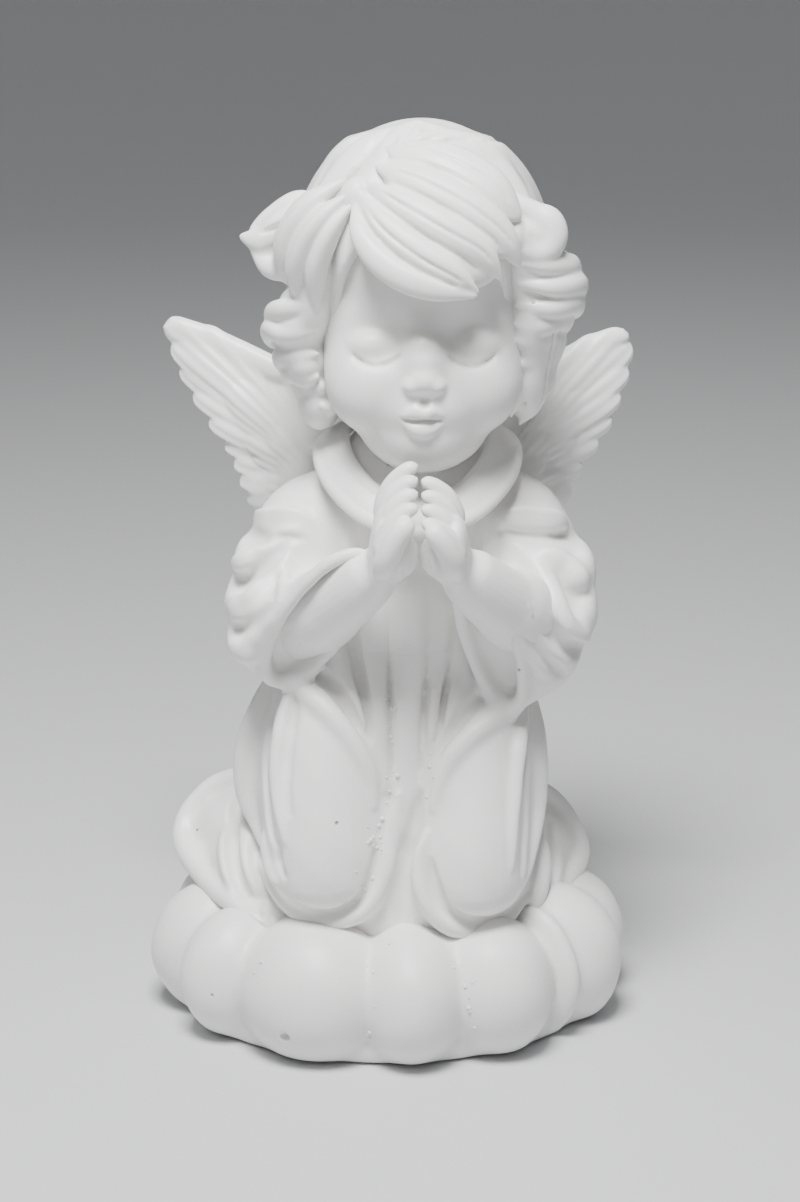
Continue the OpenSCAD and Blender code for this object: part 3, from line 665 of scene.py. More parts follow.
def model_robe(look):
    """The robe is modelled whole, then parted along the creases between its castings."""
    clay = Clay((-33, -27, 10.5), (31, 25, 84), 0.3)
    model_skirt(clay, look)
    torso = clay.twin()
    torso.lay(stacked(TORSO_LEVELS, CHEST_X), known=FAR)
    ridge(torso, [(-5.6, 72), (-5.0, 66), (-3.4, 61), (-2.2, 56)], 1.0, 1.0, 0, 1.0)
    ridge(torso, [(12.6, 72.6), (12, 66), (9.6, 61), (8.0, 56)], 1.0, 1.0, 0, 1.0)
    left, right = clay.twin(), clay.twin()
    model_sleeve(left, LEFT_SLEEVE,
                 creases=(([(-21.6, 65.8), (-18, 67.0), (-14, 67.8), (-10, 67.6)], 0.7),
                          ([(-22.5, 60.8), (-19, 61.9), (-15.6, 64.8), (-12.6, 67.6)], 1.0),
                          ([(-21.5, 55.2), (-18.4, 57), (-15.8, 60.6), (-14, 64)], 0.9)),
                 ridges=(([(-20.2, 63.4), (-17.2, 64.6), (-14, 67.0), (-9.8, 68.4)], 1.8, 0.9),
                         ([(-20.4, 58.6), (-17.6, 59.8), (-14.8, 63.0), (-12.4, 66.4)], 1.9, 1.0),
                         ([(-17.4, 68.8), (-14, 69.6), (-9.6, 70)], 1.8, 0.5),
                         ([(-18.4, 52.6), (-16.4, 55.6), (-14.6, 60.2), (-12.8, 65)], 1.3, 1.1)),
                 outer_folds=((63.8, -6.5, 3.0, 1.2, 1.9), (58.8, -9.0, 0.5, 1.0, 2.0),
                              (53.8, -11.0, -4.5, 0.6, 1.6)),
                 side=-1)
    model_sleeve(right, RIGHT_SLEEVE,
                 creases=(([(26.6, 66.4), (22, 67.4), (17.6, 67.9), (12.6, 69)], 0.8),
                          ([(26.6, 52.4), (22.6, 55), (19.4, 60.4), (17, 65.6)], 1.1),
                          ([(22.8, 50), (19.8, 53.8), (17.6, 58.6), (16, 63.4)], 0.8)),
                 ridges=(([(25.6, 54.4), (22.8, 57.4), (20.2, 62.4), (16.8, 67)], 1.6, 1.3),
                         ([(23.0, 68.8), (19.0, 69.8), (14, 70.6)], 1.8, 0.6),
                         ([(25.4, 61.6), (22.6, 64.2), (18.6, 66.6)], 1.6, 1.1),
                         ([(21, 51), (18.8, 55), (17, 60.4), (15.2, 65.4)], 1.3, 1.1)),
                 outer_folds=((62.6, -7.5, 2.5, 1.6, 2.8), (57.4, -10.0, -1.0, 1.4, 2.4)), side=1)
    body = melt(clay.d, torso.d, 2.0)
    arms = np.minimum(left.d, right.d)
    whole = melt(body, arms, 1.8)
    x, y, z = clay.everywhere()
    whole += (0.05 * np.sin(x * 0.9 + 0.5 * z) * np.sin(z * 0.7 - 0.4 * y)).astype(np.float32)
    trunk, sleeves = parted(whole, (body - arms) / 2, ahead=0.6, tongue=1.4)
    for points, count, spread in ((((0.1, 52), (0.2, 46), (0.4, 40), (0.3, 35), (-0.8, 30)), 30, 0.4),
                                  (((5.1, 52), (4.9, 46), (4.7, 40), (4.6, 34)), 22, 0.6),
                                  (((-1.6, 31), (-1.9, 26.5), (-3.4, 22.8), (-6, 20.6)), 34, 1.1)):
        clay.bubbles(points, count, spread, seed=count)
    waist = box_mm("robe_skirt")[1][2] - LAP
    level = (0.0 * x + 0.0 * y + z - waist).astype(np.float32)
    lower, upper = parted(trunk, level, ahead=1, tongue=1.8)
    parts = {}
    for name, field in (("robe_skirt", lower), ("robe_bodice", upper),
                        ("sleeve_left", np.maximum(sleeves, left.d - right.d)),
                        ("sleeve_right", np.maximum(sleeves, right.d - left.d))):
        part = clay.twin()
        part.d = field
        part.grains = clay.grains if name == "robe_skirt" else []
        parts[name] = part.mesh(name + "_casting")
    return parts


def model_collar(look):
    """Flat rolled band that drops towards the front."""
    clay = Clay((-11, -16, 66), (19, 13, 86), 0.25)
    line = spline([(3.8, -12.2, 71.6), (-1.8, -11.2, 73), (-5.4, -8.4, 75.6), (-7.2, -4.2, 78), (-7, 1, 79.6),
                   (-3.6, 5.6, 80), (3.8, 7.6, 80.2), (11, 5.6, 80), (14.4, 1, 79.8), (14.8, -4.2, 78.2),
                   (13, -8.4, 75.8), (9.4, -11.2, 73.2)], 96, closed=True)
    middle = np.array((3.9, -1, 70))
    up = unit(unit(line - middle) + np.array((0, 0, 0.6)))
    clay.lay(rings_along(line, 2.7, 0.95, up, 20, closed=True), closed=True)
    tangent = unit(np.roll(line, -1, 0) - np.roll(line, 1, 0))
    for shift in (-2.0, 2.0):
        edge = line + shift * np.cross(tangent, up)
        clay.lay(rings_along(edge, 0.75, 0.75, up, 10, closed=True), 0.5, closed=True)
    return clay.mesh("collar_casting")


# ---------------------------------------------------------------- head

def model_head(look):
    """Round child's face with closed eyes, on a short neck."""
    face_x = 4.5                # the head sits a little to the right of the base's middle
    clay = Clay((-12, -23, 68), (21, 17, 119), 0.26)
    clay.blob((face_x, -0.2, 102), (14.0, 14.2, 15.4))
    clay.blob((face_x, -4.8, 91), (12.5, 11.8, 11.6), 5.0)
    for side in (-1, 1):
        clay.blob((face_x + side * 6.1, -9.9, 88.2), (5.6, 5.6, 5.3), 3.5)
    clay.blob((face_x, -11.4, 82.6), (5.4, 4.8, 4.2), 3.5)
    clay.blob((face_x, -7, 81.4), (7, 7, 3.8), 3.0)
    clay.strand([(4, 0.5, 70), (4, -0.8, 76), (face_x, -2, 84)], [8.2, 7.4, 6.4], [7.6, 7.2, 6.4], blend=2.5,
                start=0.02, end=0.02)
    # brow, then for each eye a socket, a closed lid and the line of its lashes
    forehead = clay.settle([(face_x, 0, 103.5)], FRONT)[0]
    clay.blob(forehead + (0, 4.6, 0), (8, 5, 5.6), 3.0)
    for side in (-1, 1):
        eye_x = face_x + side * 6.0
        socket = clay.settle([(eye_x, 0, 95.6)], FRONT)[0]
        clay.blob(socket + (side * 0.5, -1.7, 0), (4.4, 2.5, 2.7), 2.8, carve=True)
        lid = clay.settle([(eye_x, 0, 93.9)], FRONT)[0]
        clay.blob(lid + (0, 1.55, 0.2), (3.3, 2.5, 2.2), 0.8)
        slit = [(eye_x - side * 3.3, 0, 93.6), (eye_x - side * 2.0, 0, 92.5), (eye_x, 0, 91.9),
                (eye_x + side * 1.9, 0, 92.3), (eye_x + side * 3.5, 0, 93.6)]
        clay.fold(slit, 0.34, 0.55, 0.05, 0.35, True, start=0.2, end=0.2)
    # nose: soft bridge, round tip and small wings
    bridge = clay.settle([(face_x, 0, 95), (face_x, 0, 91.4)], FRONT)
    clay.strand([bridge[0] + (0, 1.2, 0), bridge[1] + (0, 0.3, 0)], [1.5, 1.7], [1.3, 1.8], blend=2.2,
                start=0.3)
    tip = clay.settle([(face_x, 0, 90.3)], FRONT)[0]
    clay.blob(tip + (0, 0.3, 0), (1.9, 1.9, 1.6), 1.3)
    for side in (-1, 1):
        wing = clay.settle([(face_x + side * 1.6, 0, 89.7)], FRONT)[0]
        clay.blob(wing + (0, 0.5, 0), (0.95, 1.2, 0.85), 0.8)
    # lips, the line between them and the groove above
    lips = clay.settle([(face_x, 0, 86.3), (face_x, 0, 84.4)], FRONT)
    clay.blob(lips[0] + (0, 1.6, 0.3), (4.4, 2.3, 2.4), 2.0)
    top = [(face_x - 2.8, 0, 85.7), (face_x - 1.1, 0, 86.6), (face_x, 0, 86.3), (face_x + 1.1, 0, 86.6),
           (face_x + 2.8, 0, 85.7)]
    clay.fold(top, [0.5, 0.85, 0.8, 0.85, 0.5], [0.4, 0.8, 0.7, 0.8, 0.4], 0, 0.7)
    low = [(face_x - 2.4, 0, 85.0), (face_x - 1, 0, 84.3), (face_x, 0, 84.2), (face_x + 1, 0, 84.3),
           (face_x + 2.4, 0, 85.0)]
    clay.fold(low, [0.5, 0.9, 1.0, 0.9, 0.5], [0.4, 0.8, 0.9, 0.8, 0.4], 0, 0.7)
    line = [(face_x - 3.0, 0, 85.7), (face_x - 1.3, 0, 85.3), (face_x, 0, 85.5), (face_x + 1.3, 0, 85.3),
            (face_x + 3.0, 0, 85.7)]
    clay.fold(line, 0.26, 0.55, 0, 0.3, True)
    clay.fold([(face_x, 0, 88.4), (face_x, 0, 87.2)], 0.5, 0.4, 0.1, 0.6, True)
    return clay.mesh("head_casting")


# ---------------------------------------------------------------- hair

HEAD_MIDDLE = np.array((4.2, 0.8, 102.0))


def outward(path):
    """Directions out from the middle of the head."""
    return unit(path - HEAD_MIDDLE)


def headings(turns):
    """Directions given as angle from the front towards +X and angle above level, in degrees."""
    around, above = np.radians(np.array(turns, float).T)
    return np.stack([np.cos(above) * np.sin(around), -np.cos(above) * np.cos(around), np.sin(above)], -1)


def on_hair(clay, turns):
    """Points where headings from the middle of the head leave the hair."""
    out = headings(turns)
    return clay.settle(np.repeat(HEAD_MIDDLE[None], len(out), 0), -out)


def lock(clay, points, wide, high, ridges=3, depth=0.16, blend=0.5, start=0.3, end=0.5, up=outward):
    """A combed lock of hair, ridged along its length."""
    clay.strand(points, wide, high, up, blend, False, start, end, 28, ridges, depth, 36)


def groove(clay, points, size, deep=1.5, blend=0.5):
    """A long cut between two locks."""
    clay.strand(points, size, size * deep, outward, blend, True, 0.35, 0.35, 14, count=32)


def model_hair_cap(look):
    """Crown and back of the hair, combed from the parting down to the nape."""
    clay = Clay((-17, -20, 76), (26, 22, 123), 0.3)
    clay.blobs(((4.2, 0.8, 103), (15.6, 16.0, 17.3), 0), ((4.2, 5.6, 94), (13.6, 10.6, 13.5), 4.0),
               ((4.2, 7.2, 88), (11.6, 8.8, 8.2), 3.0))
    base = clay.twin()
    base.d = clay.d.copy()
    strand = look.strand_depth
    # where each combed line crosses the side of the head, and where it ends at the nape
    lines = np.linspace(-62, 62, 21)
    for k, side_az in enumerate(lines):
        wave = 5 * math.sin(1.9 * k)
        far = side_az * 2.9
        turns = ((-22 + 0.12 * side_az, 50 + 0.2 * abs(side_az)),
                 (0.9 * far * 0.5 - 10, 78 - 0.12 * abs(far)), (0.8 * far + wave * 0.4, 52),
                 (0.93 * far - wave * 0.5, 26), (far + wave * 0.3, 4), (far - wave * 0.4, -22))
        path = on_hair(base, turns)
        if k % 2:
            groove(clay, path, 0.7 * strand, 1.6, 0.9)
        else:
            lock(clay, path - outward(path) * 0.5, [1.0, 2.0, 2.6, 2.8, 2.8, 1.6],
                 [0.9, 1.0, 1.3, 1.7, 1.7, 1.0], 4, 0.10 * strand, 1.2, 0.2, 0.3)
    # opening for the face
    clay.blob((4.2, -17.5, 92.4), (12.4, 15.5, 18.6), 1.0, carve=True)
    clay.blob((4.2, -14, 80), (11.5, 14, 12), 1.0, carve=True)
    return clay.mesh("hair_cap_casting")


def combed_locks(clay, rows, depth, blend, lift):
    """Locks given as points, half widths and half heights, each with a fine cut along its crest."""
    for points, wide, high in rows:
        lock(clay, points, wide, high, 3, 0.08 * depth, blend, 0.4, 0.4)
        middle = spline(points, 16)[2:13]
        groove(clay, (middle + outward(middle) * lift)[::2], 0.24 * depth, 1.5, 0.3)


def back_locks(clay, side, look):
    """Wavy locks behind the ear. side is -1 for the left, 1 for the right."""
    for k in range(4):
        az = side * (82 + 13 * k)
        turns = np.array(((az - side * 6, 8, 15.0), (az + side * 2, -8, 15.6), (az - side * 3, -24, 16.2),
                          (az + side * 3, -38, 17.2), (az - side * 1, -46, 19.4)))
        reach = turns[:, 2:] - 0.6 * k
        lock(clay, HEAD_MIDDLE + reach * headings(turns[:, :2]), [1.2, 2.2, 2.5, 2.2, 0.9],
             [1.0, 1.6, 1.9, 1.6, 0.8], 3, 0.1 * look.strand_depth, 1.0, 0.4, 0.4)


def model_fringe(look):
    """Big fringe swept across the brow, whose locks come to points on the +X side."""
    clay = Clay((-9, -26, 96), (25, -1, 122), 0.2)
    depth = look.strand_depth
    # overlapping locks, from the lowest to the one over the crown
    locks = (
        ([(-4.0, -12.2, 112.0), (-3.2, -15.8, 108.0), (0.2, -18.3, 104.5), (5.4, -19.4, 102.3),
          (11.0, -18.5, 101.1)],
         [0.9, 1.4, 1.7, 1.6, 0.7], [1.0, 1.4, 1.5, 1.4, 0.8], 2),
        ([(-3.4, -12.4, 112.8), (-0.6, -15.8, 109.2), (3.6, -17.9, 106.1), (7.8, -18.7, 103.8),
          (11.2, -18.2, 101.5)],
         [1.4, 2.2, 2.4, 1.9, 0.7], [1.2, 1.6, 1.8, 1.5, 0.8], 3),
        ([(-2.6, -11.8, 114.0), (2.0, -15.2, 111.4), (7.0, -17.0, 108.7), (11.4, -17.1, 106.2),
          (14.0, -16.6, 102.6)],
         [1.5, 2.3, 2.5, 1.9, 0.7], [1.3, 1.7, 1.9, 1.6, 0.9], 3),
        ([(-1.6, -10.2, 115.8), (4.0, -13.6, 114.0), (9.6, -15.3, 111.1), (13.8, -15.3, 107.8),
          (16.2, -14.6, 104.0)],
         [1.6, 2.6, 2.8, 2.3, 1.1], [1.3, 1.7, 1.9, 1.7, 1.1], 3),
        ([(-0.4, -7.6, 117.6), (6.0, -10.6, 116.5), (12.0, -12.2, 113.4), (16.2, -12.6, 109.4)],
         [2.0, 3.2, 3.2, 2.2], [1.2, 1.7, 1.9, 1.5], 3))
    clay.strand([(-3.0, -10.6, 112.6), (1.2, -14.0, 109.2), (6.4, -15.8, 106.8), (11.2, -15.6, 105.0),
                 (14.0, -14.6, 104.4)],
                [2.0, 4.0, 4.8, 3.6, 1.6], [1.6, 2.4, 2.6, 2.2, 1.4], outward, 0.6, start=0.3, end=0.3,
                sides=32)
    clay.strand([(-1.0, -8.4, 115.8), (4.4, -12.0, 113.6), (10.2, -13.4, 110.6), (14.6, -12.8, 107.4)],
                [2.0, 4.2, 4.4, 2.4], [1.4, 2.2, 2.4, 1.8], outward, 0.8, start=0.3, end=0.3, sides=32)
    clay.strand([(-4.6, -11.0, 110.0), (-4.0, -11.2, 112.2), (-2.8, -10.2, 114.4)], [1.4, 2.0, 1.6],
                [1.4, 1.8, 1.4], outward, 1.2)
    for points, wide, high, ridges in locks:
        lock(clay, points, wide, high, ridges, 0.07 * depth, 0.55, 0.45, 0.4)
    # fine cuts that follow the locks
    for a, b in ((0, 1), (1, 2), (2, 3), (3, 4)):
        upper, lower = spline(locks[b][0], 24), spline(locks[a][0], 24)
        for share, size in ((0.55, 0.32), (0.95, 0.2)):
            path = (lower * (1 - share) + upper * share)[3:21]
            path = clay.settle(path[::2] + outward(path[::2]) * 9, -outward(path[::2]), 0.05)
            groove(clay, path, size * depth, 1.3, 0.35)
    return clay.mesh("hair_fringe_casting")


def model_curls_left(look):
    """Temple locks, the flick that stands out, and the waves beside the cheek."""
    clay = Clay((-25, -20, 76), (6, 15, 117), 0.2)
    depth = look.strand_depth
    # the mass that the locks lie on
    clay.blobs(((-8.2, -3.6, 104.4), (4.4, 8.0, 6.6), 0), ((-9.4, -4.2, 98.6), (3.2, 6.6, 5.6), 2.0),
               ((-11.6, -3.6, 95.2), (3.4, 6.0, 3.6), 2.0), ((-10.4, -2.6, 90.6), (3.2, 6.2, 3.6), 2.0),
               ((-8.8, -1.0, 85.4), (3.0, 6.0, 4.6), 2.0))
    # locks from the parting down the temple
    temple = (
        ([(-4.0, -12.6, 111.8), (-6.6, -13.2, 108.6), (-8.4, -12.4, 104.8), (-9.0, -11.2, 101.2),
          (-8.8, -10.6, 97.6)],
         [0.7, 1.2, 1.5, 1.4, 0.6], [0.9, 1.3, 1.5, 1.3, 0.7]),
        ([(-4.4, -12.0, 112.8), (-8.0, -12.4, 109.8), (-10.4, -11.2, 106.0), (-11.4, -9.8, 102.2),
          (-11.2, -9.0, 99.0)],
         [0.8, 1.6, 1.9, 1.7, 0.8], [1.0, 1.5, 1.7, 1.5, 0.8]),
        ([(-5.0, -10.2, 114.2), (-9.2, -10.0, 111.2), (-12.0, -8.6, 107.4), (-12.8, -7.2, 103.4),
          (-12.4, -6.6, 100.4)],
         [1.0, 2.0, 2.2, 2.0, 0.9], [1.1, 1.7, 1.8, 1.6, 0.9]))
    combed_locks(clay, temple, depth, 0.45, 1.75)
    # flick: a wedge of locks that turns up at its tip
    flick = (
        ([(-8.6, -4.6, 109.4), (-12.2, -4.8, 107.6), (-15.4, -4.2, 105.8), (-18.8, -3.2, 106.1)],
         [2.8, 2.6, 1.9, 0.9], [2.4, 2.2, 1.7, 0.9]),
        ([(-9.0, -2.4, 110.8), (-12.2, -2.8, 109.4), (-14.8, -2.8, 108.0), (-17.4, -2.8, 106.9)],
         [2.0, 1.9, 1.5, 0.8], [2.2, 1.9, 1.5, 0.8]),
        ([(-9.4, -6.2, 104.8), (-12.2, -6.0, 103.0), (-14.6, -5.2, 102.6), (-17.2, -3.8, 104.4)],
         [1.9, 1.8, 1.5, 0.8], [1.8, 1.7, 1.5, 0.8]))
    for points, wide, high in flick:
        lock(clay, points, wide, high, 2, 0.06 * depth, 0.8, 0.3, 0.35, up=(0, -1, 0.2))
    groove(clay, [(-10.4, -7.6, 107.6), (-13.2, -6.9, 105.6), (-15.8, -5.8, 104.6)], 0.35 * depth, 1.3, 0.5)
    groove(clay, [(-9.6, -7.4, 110.2), (-12.8, -6.4, 108.2), (-15.8, -5.4, 106.8)], 0.3 * depth, 1.3, 0.5)
    # waves beside the cheek: each sweeps out from the face and turns down
    waves = ((97.9, 13.4, 1.2, 2.4), (96.2, 15.2, 1.4, 1.8), (94.0, 15.8, 1.3, 0.6), (92.3, 13.9, 1.2, 2.0),
             (90.4, 14.3, 1.4, 1.2), (88.2, 13.4, 1.2, 0.4), (86.2, 11.8, 1.3, 1.2), (83.8, 10.4, 1.2, 0.8))
    for k, (z, out, r, rise) in enumerate(waves):
        x, y = -out, 0.45 * k
        lock(clay, [(-8.6, -10.4 + y, z + rise + 0.6), (x + 3.0, -9.2 + y, z + rise),
                    (x + 1.0, -6.4 + y, z + 0.6), (x + 0.9, -2.6 + y, z - 1.4), (x + 2.8, 0.8 + y, z - 3.0)],
             [0.6, r * 0.85, r, r * 0.9, 0.8], [0.7, r * 0.9, r, r * 0.8, 0.8], 2, 0.08 * depth,
             0.45, 0.35, 0.35)
    # locks behind, down to the neck
    back_locks(clay, -1, look)
    return clay.mesh("hair_curls_left_casting")


def model_curls_right(look):
    """Round knob curl, the grooved curls under it and the locks beside the cheek."""
    clay = Clay((5, -22, 74), (31, 15, 116), 0.2)
    depth = look.strand_depth
    # the mass that the curls lie on
    clay.blobs(((16.6, -3.6, 104.4), (4.4, 8.0, 6.6), 0), ((17.6, -5.4, 97), (3.2, 5.6, 6.6), 2.0),
               ((20.8, -4.6, 99.4), (3.6, 5.6, 5.0), 2.0), ((17.6, -2.4, 90), (3.4, 6.4, 7.6), 2.0),
               ((15.0, -9.0, 108.4), (2.2, 2.4, 3.0), 1.0), ((15.2, -11.4, 107.4), (1.9, 1.9, 2.6), 1.0),
               ((18.6, -9.2, 102.8), (2.8, 2.0, 1.8), 0.8), ((21.0, -6.6, 101.4), (3.2, 3.6, 3.4), 1.2))
    # knob curl: a lock wound round on itself
    centre = np.array((18.2, -10.0, 107.2))
    turn = np.linspace(0.5 * math.pi, -1.35 * math.pi, 9)
    radius = np.linspace(2.6, 1.1, 9)
    wound = centre + np.stack([radius * np.cos(turn), -0.2 * np.arange(9), radius * np.sin(turn)], -1)
    clay.blob(centre + (-0.2, 1.2, -0.2), (4.0, 3.2, 4.0), 0.8)
    lock(clay, np.vstack([[(11.6, -8.6, 113.2), (15.0, -9.8, 111.6)], wound]), [1.2, 1.7, 1.7, 1.5, 1.2],
         [1.3, 1.7, 1.7, 1.5, 1.2], 2, 0.06 * depth, 0.4, 0.3, 0.2, up=(0.3, -1, 0.2))
    # grooved curls
    waves = ((104.4, 21.6, 1.3, 1.4), (102.6, 23.6, 1.5, 1.2), (100.2, 24.6, 1.5, 0.8),
             (97.8, 24.4, 1.4, 0.4),
             (95.6, 23.0, 1.3, 0.2), (93.2, 21.6, 1.2, 0.6), (90.4, 20.6, 1.1, 0.4), (87.6, 19.6, 1.0, 0.4))
    for k, (z, out, r, rise) in enumerate(waves):
        x, y = out, 0.4 * k
        lock(clay, [(15.6, -11.8 + y, z + rise + 0.4), (x - 4.2, -11.2 + y, z + rise),
                    (x - 1.2, -8.6 + y, z + 0.6), (x - 0.8, -4.6 + y, z - 1.0), (x - 2.8, -1.2 + y, z - 2.6)],
             [0.7, r * 0.85, r, r * 0.9, 0.8], [0.7, r * 0.9, r, r * 0.8, 0.8], 2, 0.08 * depth,
             0.45, 0.35, 0.35)
    # locks that hang beside the cheek
    hanging = (
        ([(15.6, -11.0, 102.4), (16.9, -9.4, 98.6), (17.4, -7.8, 94.2), (16.9, -7.0, 89.6), (16.0, -6.6, 86),
          (15.6, -6, 83.4)],
         [0.8, 1.3, 1.4, 1.4, 1.2, 0.6], [0.9, 1.3, 1.4, 1.4, 1.2, 0.8]),
        ([(18.0, -9.4, 99.8), (19.4, -8.0, 96.4), (19.3, -6.4, 92.2), (18.4, -5.6, 88.2), (18.0, -4.8, 84.8),
          (16.8, -4.4, 82)],
         [1.1, 1.6, 1.7, 1.6, 1.4, 0.7], [1.1, 1.5, 1.6, 1.5, 1.3, 0.8]),
        ([(20.6, -6.4, 97.4), (21.0, -5.0, 93.4), (20.0, -3.8, 90), (19.6, -3.0, 86.6), (18.2, -2.4, 83)],
         [1.2, 1.7, 1.8, 1.6, 0.8], [1.2, 1.6, 1.6, 1.4, 0.8]))
    combed_locks(clay, hanging, depth, 0.5, 1.7)
    back_locks(clay, 1, look)
    return clay.mesh("hair_curls_right_casting")


# ---------------------------------------------------------------- hands

def model_hand(side, look):
    """Forearm, palm and arched fingers of one praying hand. side is -1 for the left, 1 for the right."""
    palm_x = 3.9                # plane where the palms meet
    low_x, high_x = (-16, palm_x + 1.5) if side < 0 else (palm_x - 1.5, 24)
    clay = Clay((low_x, -30, 52), (high_x, -4, 84), 0.2)

    def at(x, y, z):
        """x is the distance from the plane where the palms meet."""
        return (palm_x + side * x, y, z)

    top = 1.9 if side < 0 else 0.0      # the left hand reaches higher
    clay.strand([at(14.4, -9.6, 57.4), at(11, -13, 60.6), at(7.4, -16.6, 64.4), at(4.6, -18.6, 67.8)],
                [4.6, 4.6, 4.0, 3.3], [4.2, 4.2, 3.7, 3.2], start=0.1, end=0.2, sides=28)
    clay.strand([at(16, -4.6, 54.6), at(13, -9.6, 58.6), at(10, -13.6, 62)], [5.4, 5.4, 4.6], [4.8, 5.0, 4.2],
                blend=1.5, start=0.1, end=0.3, sides=28)
    # heel and back of the hand, cupped round the palm
    clay.strand([at(5.0, -18, 64.6), at(4.6, -19, 68.4), at(4.4, -19.6, 71.8),
                 at(3.8, -19.4, 74.4 + 0.5 * top)],
                [3.2, 3.6, 3.6, 3.0], [2.2, 1.9, 1.6, 1.4], up=(side, 0.1, 0.1), blend=1.6, start=0.25,
                end=0.3, sides=28)
    clay.blob(at(2.6, -18.6, 68.8), (2.5, 2.7, 3.0), 1.6)
    # fingers, from the back one to the front one: knuckle, bend and tip
    for k in range(4):
        y = -17.6 - 1.7 * k
        drop = 1.25 + 1.3 * k
        clay.strand([at(4.9, y, 72.6 - 0.6 * drop), at(4.5, y - 0.1, 75.4 + top * 0.6 - drop),
                     at(3.3, y - 0.3, 77.6 + top * 0.8 - drop), at(1.3, y - 0.5, 79.0 + top - drop),
                     at(0.3, y - 0.4, 78.7 + top - drop)],
                    [1.05, 1.1, 1.05, 0.95, 0.75], [1.15, 1.1, 1.05, 0.95, 0.75], up=(side, 0, 0.6),
                    blend=0.22, start=0.25, end=0.14, sides=18)
        clay.blob(at(3.1, y + 0.6, 74.6 + 0.5 * top - drop), (1.9, 1.2, 3.0), 0.8)
    # thumb, bent across the front
    clay.strand([at(4.6, -21.6, 66.8), at(4.0, -23.8, 69.6), at(2.5, -24.7, 72.4 + 0.3 * top),
                 at(0.9, -24.6, 74.2 + 0.4 * top)],
                [1.5, 1.5, 1.4, 1.15], [1.4, 1.4, 1.3, 1.0], up=(0, -1, 0.3), blend=0.6, start=0.3, end=0.2,
                sides=18)
    # the palm ends a hair past the plane where it meets the other one
    x, y, z = clay.everywhere()
    palm_plane = (-side * (x - palm_x) - 0.05 + 0.0 * y + 0.0 * z).astype(np.float32)
    clay.d = np.maximum(clay.d, palm_plane)
    return clay.mesh("hand_left_casting" if side < 0 else "hand_right_casting", 1)


# ---------------------------------------------------------------- wings

# angle above level, reach and half width of each feather; the last few make the smooth leading edge
LEFT_FEATHERS = (
    (-14, 10.6, 2.6), (-4, 11.4, 2.5), (7, 12.2, 2.4), (16, 13.4, 2.2), (23.5, 15.4, 2.1), (29, 18.6, 2.0),
    (33.6, 22.2, 1.9), (37.4, 25.6, 1.9), (40.8, 28.4, 1.9), (44, 30.6, 1.9), (49, 26.8, 2.2),
    (55, 22.2, 2.6), (63, 18, 3.0), (73, 15.2, 3.2))
RIGHT_FEATHERS = (
    (-6, 8.2, 2.6), (6, 9.8, 2.5), (16, 12.4, 2.4), (24, 15.6, 2.2), (30, 18.6, 2.1), (35.4, 21.2, 2.0),
    (40, 24, 2.0), (44.4, 26.4, 2.0), (48.6, 26.6, 2.0), (53, 24, 2.3), (59, 20, 2.6), (67, 16.6, 3.0),
    (77, 14, 3.2))


